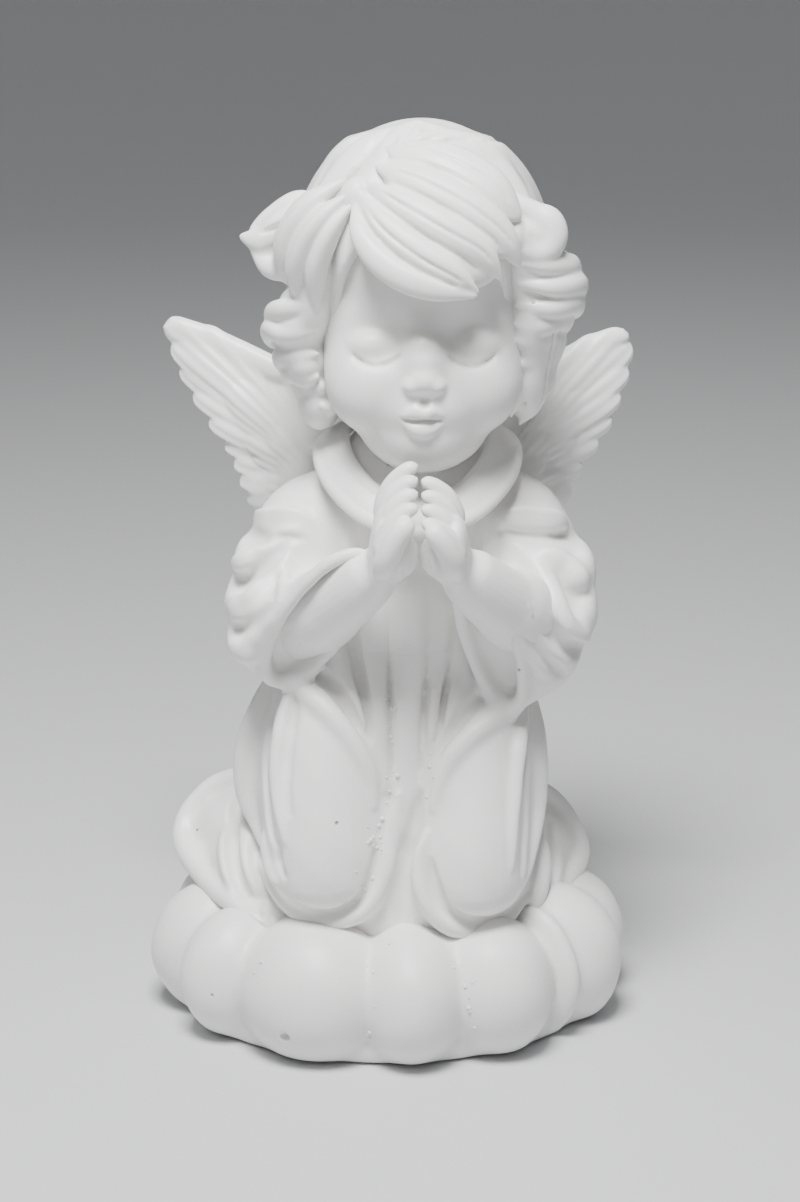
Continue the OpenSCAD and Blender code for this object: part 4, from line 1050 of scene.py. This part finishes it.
def model_wing(side, look):
    """Broad wing: layered feathers that fan out from a root behind the shoulder."""
    root = np.array((-8.0 if side < 0 else 14.0, 9.6, 70.0))
    low_x, high_x = (-26, 7) if side < 0 else (-7, 23)
    clay = Clay(root + (low_x, -6, -6), root + (high_x, 15, 25), 0.2)
    feathers = LEFT_FEATHERS if side < 0 else RIGHT_FEATHERS

    def at(angle, reach, back):
        """A place on the wing. back is how far it lies behind the wing's swept plane."""
        a = math.radians(angle)
        return root + np.array((side * reach * math.cos(a), back + 0.27 * reach, reach * math.sin(a)))

    face = unit(np.array((0.28 * side, -1.0, 0.12)))
    count = len(feathers)
    # the blade under the feathers
    for angle, reach, width in feathers:
        clay.strand([at(angle + 4, 0, 1.0), at(angle, reach * 0.5, 1.1), at(angle, reach * 0.9, 1.0)],
                    [2.4, 2.6, width], [1.7, 1.4, 0.8], face, 0.8, start=0.1, end=0.3, sides=20, count=16)
    # three overlapping rows of feathers
    for row, (share, wide, lift) in enumerate(((1.0, 1.0, 0.0), (0.66, 0.85, -0.75), (0.4, 0.8, -1.3))):
        for k in range(count - 3 - row):
            angle, reach, width = feathers[k]
            if row:
                angle = (feathers[k][0] + feathers[k + 1][0]) / 2
                reach = (feathers[k][1] + feathers[k + 1][1]) / 2
            wave = 0.22 * math.sin(2.1 * k + row)
            inner = at(angle + 5, reach * share * 0.2, lift + 0.1)
            clay.strand([inner, at(angle + 2.4, reach * share * 0.55, lift - 0.25 + wave),
                         at(angle + 0.4, reach * share * 0.85, lift - 0.1 + wave),
                         at(angle, reach * share, lift + 0.5)],
                        [1.1, width * wide * 0.85, width * wide, width * wide * 0.8],
                        [0.7, 0.85, 0.75, 0.55], face + (0, 0, 0.35 - 0.05 * k), 0.22, start=0.15, end=0.16,
                        sides=40, ridges=7, ridge_depth=0.09 * look.strand_depth, count=22)
    # one row on the back
    for k in range(count - 3):
        angle, reach, width = feathers[k]
        clay.strand([at(angle + 5, reach * 0.25, 2.2), at(angle + 2, reach * 0.6, 2.3),
                     at(angle, reach * 0.97, 1.7)],
                    [1.1, width, width * 0.8], [0.7, 0.8, 0.5], -face + (0, 0, 0.3), 0.25, start=0.15,
                    end=0.16, sides=36, ridges=6, ridge_depth=0.08 * look.strand_depth, count=18)
    # thick leading edge
    last = feathers[-6]
    edge = [at(feathers[-1][0] + 6, 6, -0.2)]
    edge += [at(angle, reach * 0.97, 0.2) for angle, reach, width in feathers[:-6:-1]]
    edge.append(at(last[0] + 2, last[1] * 0.97, 0.3))
    clay.strand(edge, [1.9, 1.9, 1.7, 1.5, 1.3, 1.1], [1.5, 1.4, 1.3, 1.1, 1.0, 0.9], face, 0.7, start=0.2,
                end=0.1)
    clay.blobs((at(0, 0, -0.4) + (side * 2.0, 0, 0.5), (4.4, 2.8, 4.6), 1.4),
               (at(-10, 6.5, 0.2), (4.4, 1.8, 3.4), 1.0))
    return clay.mesh("wing_left_casting" if side < 0 else "wing_right_casting", 1)


# ---------------------------------------------------------------- finishes

class Sheet:
    """Adds and links shader nodes in a tree."""

    def __init__(self, tree):
        self.tree = tree
        self.column = 0

    def add(self, kind, **settings):
        """A new node, set to the right of the last one."""
        node = self.tree.nodes.new(kind)
        node.location = (220 * self.column, 0)
        self.column += 1
        for key, value in settings.items():
            setattr(node, key, value)
        return node

    def link(self, out, into):
        """Joins an output to an input."""
        self.tree.links.new(out, into)

    def math(self, operation, a, b=None, clamp=False):
        """Result of a sum on numbers or outputs."""
        node = self.add("ShaderNodeMath", operation=operation, use_clamp=clamp)
        for socket, value in zip(node.inputs, (a, b)):
            if value is None:
                continue
            if isinstance(value, (int, float)):
                socket.default_value = value
            else:
                self.link(value, socket)
        return node.outputs[0]

    def ramp(self, value, low, high):
        """Smooth climb from 0 to 1 as the value goes from low to high."""
        node = self.add("ShaderNodeMapRange", interpolation_type="SMOOTHSTEP")
        self.link(value, node.inputs["Value"])
        node.inputs["From Min"].default_value = low
        node.inputs["From Max"].default_value = high
        return node.outputs["Result"]

    def mix(self, factor, a, b):
        """Colour between a and b."""
        node = self.add("ShaderNodeMix", data_type="RGBA", blend_type="MIX", clamp_factor=True)
        factor_in, a_in, b_in, colour_out = 0, 6, 7, 2      # the node's sockets for colours
        for index, value in ((factor_in, factor), (a_in, a), (b_in, b)):
            socket = node.inputs[index]
            if isinstance(value, (int, float, tuple)):
                socket.default_value = value
            else:
                self.link(value, socket)
        return node.outputs[colour_out]


def effect_group(name, sockets_in, sockets_out):
    """Empty node group with named inputs (name, kind, default) and outputs (name, kind)."""
    tree = bpy.data.node_groups.new(name, "ShaderNodeTree")
    for label, kind, default in sockets_in:
        socket = tree.interface.new_socket(label, in_out="INPUT", socket_type=kind)
        if default is not None:
            socket.default_value = default
    for label, kind in sockets_out:
        tree.interface.new_socket(label, in_out="OUTPUT", socket_type=kind)
    sheet = Sheet(tree)
    return tree, sheet, sheet.add("NodeGroupInput"), sheet.add("NodeGroupOutput")


def rare_cells(s, given):
    """Cells of a pattern, a random colour for each, and a mask of the few that are chosen."""
    cells = s.add("ShaderNodeTexVoronoi", feature="F1")
    s.link(given.outputs["Vector"], cells.inputs["Vector"])
    s.link(given.outputs["Scale"], cells.inputs["Scale"])
    chance = s.add("ShaderNodeSeparateColor")
    s.link(cells.outputs["Color"], chance.inputs[0])
    return cells, chance, s.math("LESS_THAN", chance.outputs[0], given.outputs["Share"])


def pits_group():
    """Tiny air holes left in the casting."""
    tree, s, given, out = effect_group(
        "Casting pits",
        (("Vector", "NodeSocketVector", None), ("Scale", "NodeSocketFloat", 300.0),
         ("Share", "NodeSocketFloat", 0.1)),
        (("Pits", "NodeSocketFloat"), ("Height", "NodeSocketFloat")))
    cells, chance, rare = rare_cells(s, given)
    size = s.math("MULTIPLY_ADD", chance.outputs[1], 0.07)
    size.node.inputs[2].default_value = 0.05
    near = s.math("DIVIDE", cells.outputs["Distance"], size)
    hole = s.math("SUBTRACT", 1.0, near, True)
    mask = s.math("MULTIPLY", hole, rare)
    s.link(s.ramp(mask, 0.0, 0.5), out.inputs["Pits"])
    s.link(s.math("MULTIPLY", mask, -1.0), out.inputs["Height"])
    return tree


def grain_group():
    """Faint unevenness of poured and hand-rubbed resin."""
    tree, s, given, out = effect_group(
        "Casting grain",
        (("Vector", "NodeSocketVector", None), ("Fine Scale", "NodeSocketFloat", 900.0),
         ("Broad Scale", "NodeSocketFloat", 160.0), ("Fine Share", "NodeSocketFloat", 0.35)),
        (("Height", "NodeSocketFloat"),))
    heights = []
    for socket, detail in (("Fine Scale", 2.0), ("Broad Scale", 3.0)):
        noise = s.add("ShaderNodeTexNoise")
        noise.inputs["Detail"].default_value = detail
        s.link(given.outputs["Vector"], noise.inputs["Vector"])
        s.link(given.outputs[socket], noise.inputs["Scale"])
        heights.append(noise.outputs["Fac"])
    fine = s.math("MULTIPLY", heights[0], given.outputs["Fine Share"])
    s.link(s.math("ADD", fine, heights[1]), out.inputs["Height"])
    return tree


def mottle_group():
    """Slow drift between two tones, with a matching drift in gloss."""
    tree, s, given, out = effect_group(
        "Tone mottle",
        (("Vector", "NodeSocketVector", None), ("Tone A", "NodeSocketColor", None),
         ("Tone B", "NodeSocketColor", None),
         ("Scale", "NodeSocketFloat", 45.0), ("Roughness", "NodeSocketFloat", 0.4),
         ("Drift", "NodeSocketFloat", 0.12)),
        (("Color", "NodeSocketColor"), ("Roughness", "NodeSocketFloat")))
    noise = s.add("ShaderNodeTexNoise")
    noise.inputs["Detail"].default_value = 4.0
    s.link(given.outputs["Vector"], noise.inputs["Vector"])
    s.link(given.outputs["Scale"], noise.inputs["Scale"])
    share = s.ramp(noise.outputs["Fac"], 0.35, 0.68)
    s.link(s.mix(share, given.outputs["Tone A"], given.outputs["Tone B"]), out.inputs["Color"])
    centred = s.math("SUBTRACT", share, 0.5)
    s.link(s.math("ADD", s.math("MULTIPLY", centred, given.outputs["Drift"]), given.outputs["Roughness"],
                  True),
           out.inputs["Roughness"])
    return tree


def dust_and_painted_light_group():
    """Dust and painted shade in the hollows, and a painted highlight with a rub of gloss on the high edges,
    from the curvature of the surface.
    """
    tree, s, given, out = effect_group(
        "Dust and painted light",
        (("Vector", "NodeSocketVector", None), ("Color", "NodeSocketColor", None),
         ("Dust Color", "NodeSocketColor", None),
         ("Dust", "NodeSocketFloat", 0.5), ("Rub Color", "NodeSocketColor", None),
         ("Rub and Highlight", "NodeSocketFloat", 0.3), ("Roughness", "NodeSocketFloat", 0.4)),
        (("Color", "NodeSocketColor"), ("Roughness", "NodeSocketFloat")))
    shape = s.add("ShaderNodeNewGeometry")
    noise = s.add("ShaderNodeTexNoise")
    noise.inputs["Scale"].default_value = 240.0
    noise.inputs["Detail"].default_value = 3.0
    s.link(given.outputs["Vector"], noise.inputs["Vector"])
    # painted shade, partly dust: the hollows are darkened towards the dust colour
    hollow = s.ramp(shape.outputs["Pointiness"], 0.492, 0.44)
    # painted highlight: the high edges are lightened, and made a little glossier by the rub
    high = s.ramp(shape.outputs["Pointiness"], 0.52, 0.60)
    broken = s.ramp(noise.outputs["Fac"], 0.30, 0.62)
    dust_and_shade = s.math("MULTIPLY", s.math("MULTIPLY", hollow, broken), given.outputs["Dust"], True)
    rub_and_highlight = s.math("MULTIPLY", s.math("MULTIPLY", high, broken), given.outputs["Rub and Highlight"], True)
    dust_and_shade_tone = s.mix(dust_and_shade, given.outputs["Color"], given.outputs["Dust Color"])
    s.link(s.mix(rub_and_highlight, dust_and_shade_tone, given.outputs["Rub Color"]), out.inputs["Color"])
    rougher = s.math("ADD", given.outputs["Roughness"], s.math("MULTIPLY", dust_and_shade, 0.3))
    s.link(s.math("SUBTRACT", rougher, s.math("MULTIPLY", rub_and_highlight, 0.12), True), out.inputs["Roughness"])
    return tree


def speck_group():
    """A few dark specks caught in the resin."""
    tree, s, given, out = effect_group(
        "Dark specks",
        (("Vector", "NodeSocketVector", None), ("Color", "NodeSocketColor", None),
         ("Speck Color", "NodeSocketColor", None),
         ("Scale", "NodeSocketFloat", 110.0), ("Share", "NodeSocketFloat", 0.03)),
        (("Color", "NodeSocketColor"),))
    cells, _, rare = rare_cells(s, given)
    spot = s.ramp(cells.outputs["Distance"], 0.05, 0.018)
    s.link(s.mix(s.math("MULTIPLY", rare, spot), given.outputs["Color"], given.outputs["Speck Color"]),
           out.inputs["Color"])
    return tree


def group(name, build):
    """The node group of that name, built if it isn't there yet."""
    return bpy.data.node_groups.get(name) or build()


def resin(name, look, tone=1.0, roughness=0.4, pits=0.05, dust_and_shade=0.5, grain=0.12):
    """White cast resin, with its drift in tone and gloss, specks, dust and painted shade in the hollows, a
    painted highlight and a rub of gloss on the high edges, pits painted darker as painted shade, and grain.
    """
    made = bpy.data.materials.get(name)
    if made:
        return made
    material = bpy.data.materials.new(name)
    material.use_nodes = True
    s = Sheet(material.node_tree)
    material.node_tree.nodes.clear()
    place = s.add("ShaderNodeTexCoord").outputs["Object"]
    white = np.array(look.resin_color)
    dust_and_shade_tone = np.array(look.dust_and_shade_color)

    def colour(rgb):
        return (*[float(c) for c in rgb], 1.0)

    def effect(group_name, build, **values):
        node = s.add("ShaderNodeGroup")
        node.node_tree = group(group_name, build)
        s.link(place, node.inputs["Vector"])
        for key, value in values.items():
            socket = node.inputs[key.replace("_", " ")]
            if isinstance(value, (int, float, tuple)):
                socket.default_value = value
            else:
                s.link(value, socket)
        return node.outputs

    mottle = effect("Tone mottle", mottle_group, Tone_A=colour(white * tone),
                    Tone_B=colour(white * tone * 0.965), Roughness=roughness)
    specks = effect("Dark specks", speck_group, Color=mottle["Color"], Speck_Color=colour(dust_and_shade_tone * 0.35))
    # hollows painted darker, partly dust and partly painted shade; high edges painted lighter, a painted
    # highlight
    dust_and_painted_light = effect("Dust and painted light", dust_and_painted_light_group, Color=specks["Color"], Dust_Color=colour(dust_and_shade_tone), Dust=dust_and_shade,
                  Rub_Color=colour(np.minimum(white * 1.03, 1.0)), Roughness=mottle["Roughness"])
    holes = effect("Casting pits", pits_group, Share=pits)
    fine = effect("Casting grain", grain_group)
    # pits painted darker than the dust tone: painted shade in each hole
    pitted = s.mix(holes["Pits"], dust_and_painted_light["Color"], colour(dust_and_shade_tone * 0.8))
    surface = s.add("ShaderNodeBsdfPrincipled")
    s.link(pitted, surface.inputs["Base Color"])
    s.link(dust_and_painted_light["Roughness"], surface.inputs["Roughness"])
    surface.inputs["Subsurface Weight"].default_value = 0.12
    surface.inputs["Subsurface Scale"].default_value = 0.002
    surface.inputs["Subsurface Radius"].default_value = (1.0, 0.85, 0.7)
    surface.inputs["Specular IOR Level"].default_value = 0.5
    bump = s.add("ShaderNodeBump")
    bump.inputs["Distance"].default_value = 0.0003
    bump.inputs["Strength"].default_value = grain
    s.link(fine["Height"], bump.inputs["Height"])
    pit_bump = s.add("ShaderNodeBump")
    pit_bump.inputs["Distance"].default_value = 0.0004
    pit_bump.inputs["Strength"].default_value = 0.8
    s.link(holes["Height"], pit_bump.inputs["Height"])
    s.link(bump.outputs["Normal"], pit_bump.inputs["Normal"])
    s.link(pit_bump.outputs["Normal"], surface.inputs["Normal"])
    out = s.add("ShaderNodeOutputMaterial")
    s.link(surface.outputs["BSDF"], out.inputs["Surface"])
    return material


def skin_resin(look):
    """The smoother, cleaner resin of the face and hands, with less painted shade in its hollows."""
    return resin("skin_resin", look, roughness=0.40, pits=0.03, dust_and_shade=0.3, grain=0.08)


# ---------------------------------------------------------------- studio

def lamp(name, place, aim, size, power):
    """A soft square-cornered light."""
    light = bpy.data.lights.new(name, "AREA")
    light.shape = "RECTANGLE"
    light.size, light.size_y = size
    light.energy = power
    obj = bpy.data.objects.new(name, light)
    bpy.context.scene.collection.objects.link(obj)
    aim_at(obj, place, aim)
    return obj


def aim_at(obj, place, aim):
    """Puts a light or camera at a place, facing its aim."""
    place, aim = Vector(place), Vector(aim)
    obj.location = place
    obj.rotation_mode = "QUATERNION"
    obj.rotation_quaternion = (aim - place).to_track_quat("-Z", "Y")


def studio_floor(flat, bend, tall):
    """Round floor that curves up into a wall on every side."""
    steps, sides, rings = 20, 96, 4
    profile = [(flat * k / rings, 0.0) for k in range(1, rings + 1)]
    for k in range(1, steps + 1):
        a = math.pi / 2 * k / steps
        profile.append((flat + bend * math.sin(a), bend - bend * math.cos(a)))
    profile.append((flat + bend, tall))
    points = [(0, 0, 0)]
    for r, z in profile:
        for j in range(sides):
            a = 2 * math.pi * j / sides
            points.append((r * math.cos(a), r * math.sin(a), z))
    faces = [(0, 1 + j, 1 + (j + 1) % sides) for j in range(sides)]
    for k in range(len(profile) - 1):
        for j in range(sides):
            near, far = 1 + k * sides, 1 + (k + 1) * sides
            faces.append((near + j, far + j, far + (j + 1) % sides, near + (j + 1) % sides))
    mesh = bpy.data.meshes.new("studio_floor")
    mesh.from_pydata(points, [], faces)
    for polygon in mesh.polygons:
        polygon.use_smooth = True
    obj = bpy.data.objects.new("studio_floor", mesh)
    bpy.context.scene.collection.objects.link(obj)
    return obj


def set_stage(look):
    """Pale floor, soft lights and the camera, sized from the statuette."""
    low, high = (Vector(c) for c in CAD_BOUNDS)
    tall = high.z - low.z
    floor = studio_floor(6 * tall, 9 * tall, 14 * tall)
    paper = bpy.data.materials.new("paper_sweep")
    paper.use_nodes = True
    s = Sheet(paper.node_tree)
    surface = paper.node_tree.nodes["Principled BSDF"]
    surface.inputs["Roughness"].default_value = 0.75
    surface.inputs["Specular IOR Level"].default_value = 0.2
    noise = s.add("ShaderNodeTexNoise")
    noise.inputs["Scale"].default_value = 8.0
    pale = look.floor_color
    paper_tone = s.mix(noise.outputs["Fac"], (*pale, 1.0), (*[c * 0.985 for c in pale], 1.0))
    s.link(paper_tone, surface.inputs["Base Color"])
    floor.data.materials.append(paper)
    middle = Vector(((low.x + high.x) / 2, (low.y + high.y) / 2, low.z + tall * 0.5))
    power = look.light_power * tall * tall
    # name, place and size as multiples of the height, and strength
    above, side, behind = [
        lamp(name, middle + Vector(place) * tall, middle, (wide * tall, high * tall), strength * power)
        for name, place, wide, high, strength in (
            ("soft_top", (-0.25, -1.2, 2.6), 1.1, 0.9, 205),
            ("soft_left", (-2.8, -1.3, 3.0), 1.8, 2.2, 16),
            ("soft_back", (1.2, 2.6, 3.2), 1.8, 2.2, 15))]
    world = bpy.data.worlds.new("soft_room")
    world.use_nodes = True
    sky = world.node_tree.nodes["Background"]
    sky.inputs["Color"].default_value = (1, 1, 1, 1)
    sky.inputs["Strength"].default_value = look.room_light
    bpy.context.scene.world = world
    camera = bpy.data.cameras.new("front_camera")
    camera.lens = look.lens
    camera.sensor_width = 36.0
    camera.clip_start = 0.01
    view = bpy.data.objects.new("front_camera", camera)
    bpy.context.scene.collection.objects.link(view)
    # the camera stands in front, a little above, and looks down at the waist
    aside, away, eye_level, aim_level = 0.0125 * tall, 2.667 * tall, 1.2917 * tall, 0.475 * tall
    aim_at(view, (aside, -away, low.z + eye_level), (aside, 0, low.z + aim_level))
    bpy.context.scene.camera = view


# ---------------------------------------------------------------- add-on

class STATUETTE_PG_look(bpy.types.PropertyGroup):
    """Sizes and colours that can be changed before the statuette is built."""
    resin_color: FloatVectorProperty(name="Resin colour", description="Colour of the cast resin",
                                     subtype="COLOR", size=3, min=0, max=1, default=(0.87, 0.865, 0.85))
    # colour of the dust and of the painted shade in the hollows; the specks and the darker pits are mixed
    # from it too
    dust_and_shade_color: FloatVectorProperty(name="Dust colour", description="Colour of the dust and painted shade in the creases",
                                    subtype="COLOR", size=3, min=0, max=1, default=(0.46, 0.43, 0.39))
    floor_color: FloatVectorProperty(name="Floor colour", description="Colour of the floor and backdrop",
                                     subtype="COLOR", size=3, min=0, max=1, default=(0.62, 0.625, 0.635))
    puff_size: FloatProperty(name="Puff size", description="Width of the cloud's puffs, as a multiple",
                             min=0.9, max=1.1, default=1.0)
    fold_depth: FloatProperty(name="Fold depth", description="Depth of the robe's folds, as a multiple",
                              min=0.3, max=1.5, default=1.0)
    strand_depth: FloatProperty(name="Strand depth",
                                description="Depth of the grooves in the hair, as a multiple",
                                min=0.0, max=2.0, default=1.0)
    light_power: FloatProperty(name="Light power", description="Strength of the studio lights, as a multiple",
                               min=0.1, max=4.0, default=1.0)
    room_light: FloatProperty(name="Room light", description="Strength of the light from all round", min=0.0,
                              max=3.0, default=0.3)
    lens: FloatProperty(name="Lens", description="Focal length of the camera, in millimetres", min=20,
                        max=200, default=75.6)


class Building:
    """What the statuette's operators share."""
    bl_options = {"REGISTER", "UNDO"}

    @classmethod
    def poll(cls, context):
        return hasattr(context.scene, "statuette_look")


class STATUETTE_OT_cloud(Building, bpy.types.Operator):
    """Model the cloud base"""
    bl_idname = "statuette.cloud"
    bl_label = "Cloud"

    def execute(self, context):
        look = context.scene.statuette_look
        finish_piece(model_cloud(look), ["cloud_base"],
                     resin("cloud_resin", look, tone=0.985, roughness=0.44, pits=0.07, dust_and_shade=0.5))
        return {"FINISHED"}


class STATUETTE_OT_robe(Building, bpy.types.Operator):
    """Model the robe, its sleeves and its collar"""
    bl_idname = "statuette.robe"
    bl_label = "Robe"

    def execute(self, context):
        look = context.scene.statuette_look
        cloth = resin("robe_resin", look, roughness=0.42, pits=0.05, dust_and_shade=0.5)
        parts = model_robe(look)
        parts["collar"] = model_collar(look)
        for node, obj in parts.items():
            finish_piece(obj, [node], cloth)
        return {"FINISHED"}


class STATUETTE_OT_head(Building, bpy.types.Operator):
    """Model the head and face"""
    bl_idname = "statuette.head"
    bl_label = "Head"

    def execute(self, context):
        look = context.scene.statuette_look
        finish_piece(model_head(look), ["head"], skin_resin(look))
        return {"FINISHED"}


class STATUETTE_OT_hair(Building, bpy.types.Operator):
    """Model the hair: cap, fringe and side curls"""
    bl_idname = "statuette.hair"
    bl_label = "Hair"

    def execute(self, context):
        look = context.scene.statuette_look
        locks = resin("hair_resin", look, tone=0.99, roughness=0.40, pits=0.04, dust_and_shade=0.55)
        for node, model in (("hair_cap", model_hair_cap), ("hair_fringe", model_fringe),
                            ("hair_curls_left", model_curls_left), ("hair_curls_right", model_curls_right)):
            finish_piece(model(look), [node], locks)
        return {"FINISHED"}


class STATUETTE_OT_hands(Building, bpy.types.Operator):
    """Model both hands with their forearms"""
    bl_idname = "statuette.hands"
    bl_label = "Hands"

    def execute(self, context):
        look = context.scene.statuette_look
        for node, side in (("hand_left", -1), ("hand_right", 1)):
            finish_piece(model_hand(side, look), [node], skin_resin(look))
        return {"FINISHED"}


class STATUETTE_OT_wings(Building, bpy.types.Operator):
    """Model both wings"""
    bl_idname = "statuette.wings"
    bl_label = "Wings"

    def execute(self, context):
        look = context.scene.statuette_look
        feathers = resin("wing_resin", look, tone=0.99, roughness=0.41, pits=0.05, dust_and_shade=0.5)
        for node, side in (("wing_left", -1), ("wing_right", 1)):
            finish_piece(model_wing(side, look), [node], feathers)
        return {"FINISHED"}


class STATUETTE_OT_stage(Building, bpy.types.Operator):
    """Set up the floor, the lights and the camera"""
    bl_idname = "statuette.stage"
    bl_label = "Studio"

    def execute(self, context):
        set_stage(context.scene.statuette_look)
        return {"FINISHED"}


OPERATORS = (STATUETTE_OT_cloud, STATUETTE_OT_robe, STATUETTE_OT_head, STATUETTE_OT_hair, STATUETTE_OT_hands,
             STATUETTE_OT_wings, STATUETTE_OT_stage)


class STATUETTE_PT_panel(bpy.types.Panel):
    """Sizes, colours and buttons of the statuette"""
    bl_idname = "STATUETTE_PT_panel"
    bl_label = "Statuette"
    bl_space_type = "VIEW_3D"
    bl_region_type = "UI"
    bl_category = "Statuette"

    def draw(self, context):
        look = context.scene.statuette_look
        for name in STATUETTE_PG_look.__annotations__:
            self.layout.prop(look, name)
        for operator in OPERATORS:
            self.layout.operator(operator.bl_idname)


CLASSES = (STATUETTE_PG_look, *OPERATORS, STATUETTE_PT_panel)


def register():
    for made in CLASSES:
        bpy.utils.register_class(made)
    bpy.types.Scene.statuette_look = PointerProperty(type=STATUETTE_PG_look)


def unregister():
    del bpy.types.Scene.statuette_look
    for made in reversed(CLASSES):
        bpy.utils.unregister_class(made)


def main():
    register()
    for operator in OPERATORS:
        family, name = operator.bl_idname.split(".")
        getattr(getattr(bpy.ops, family), name)()


if __name__ == "__main__":
    main()
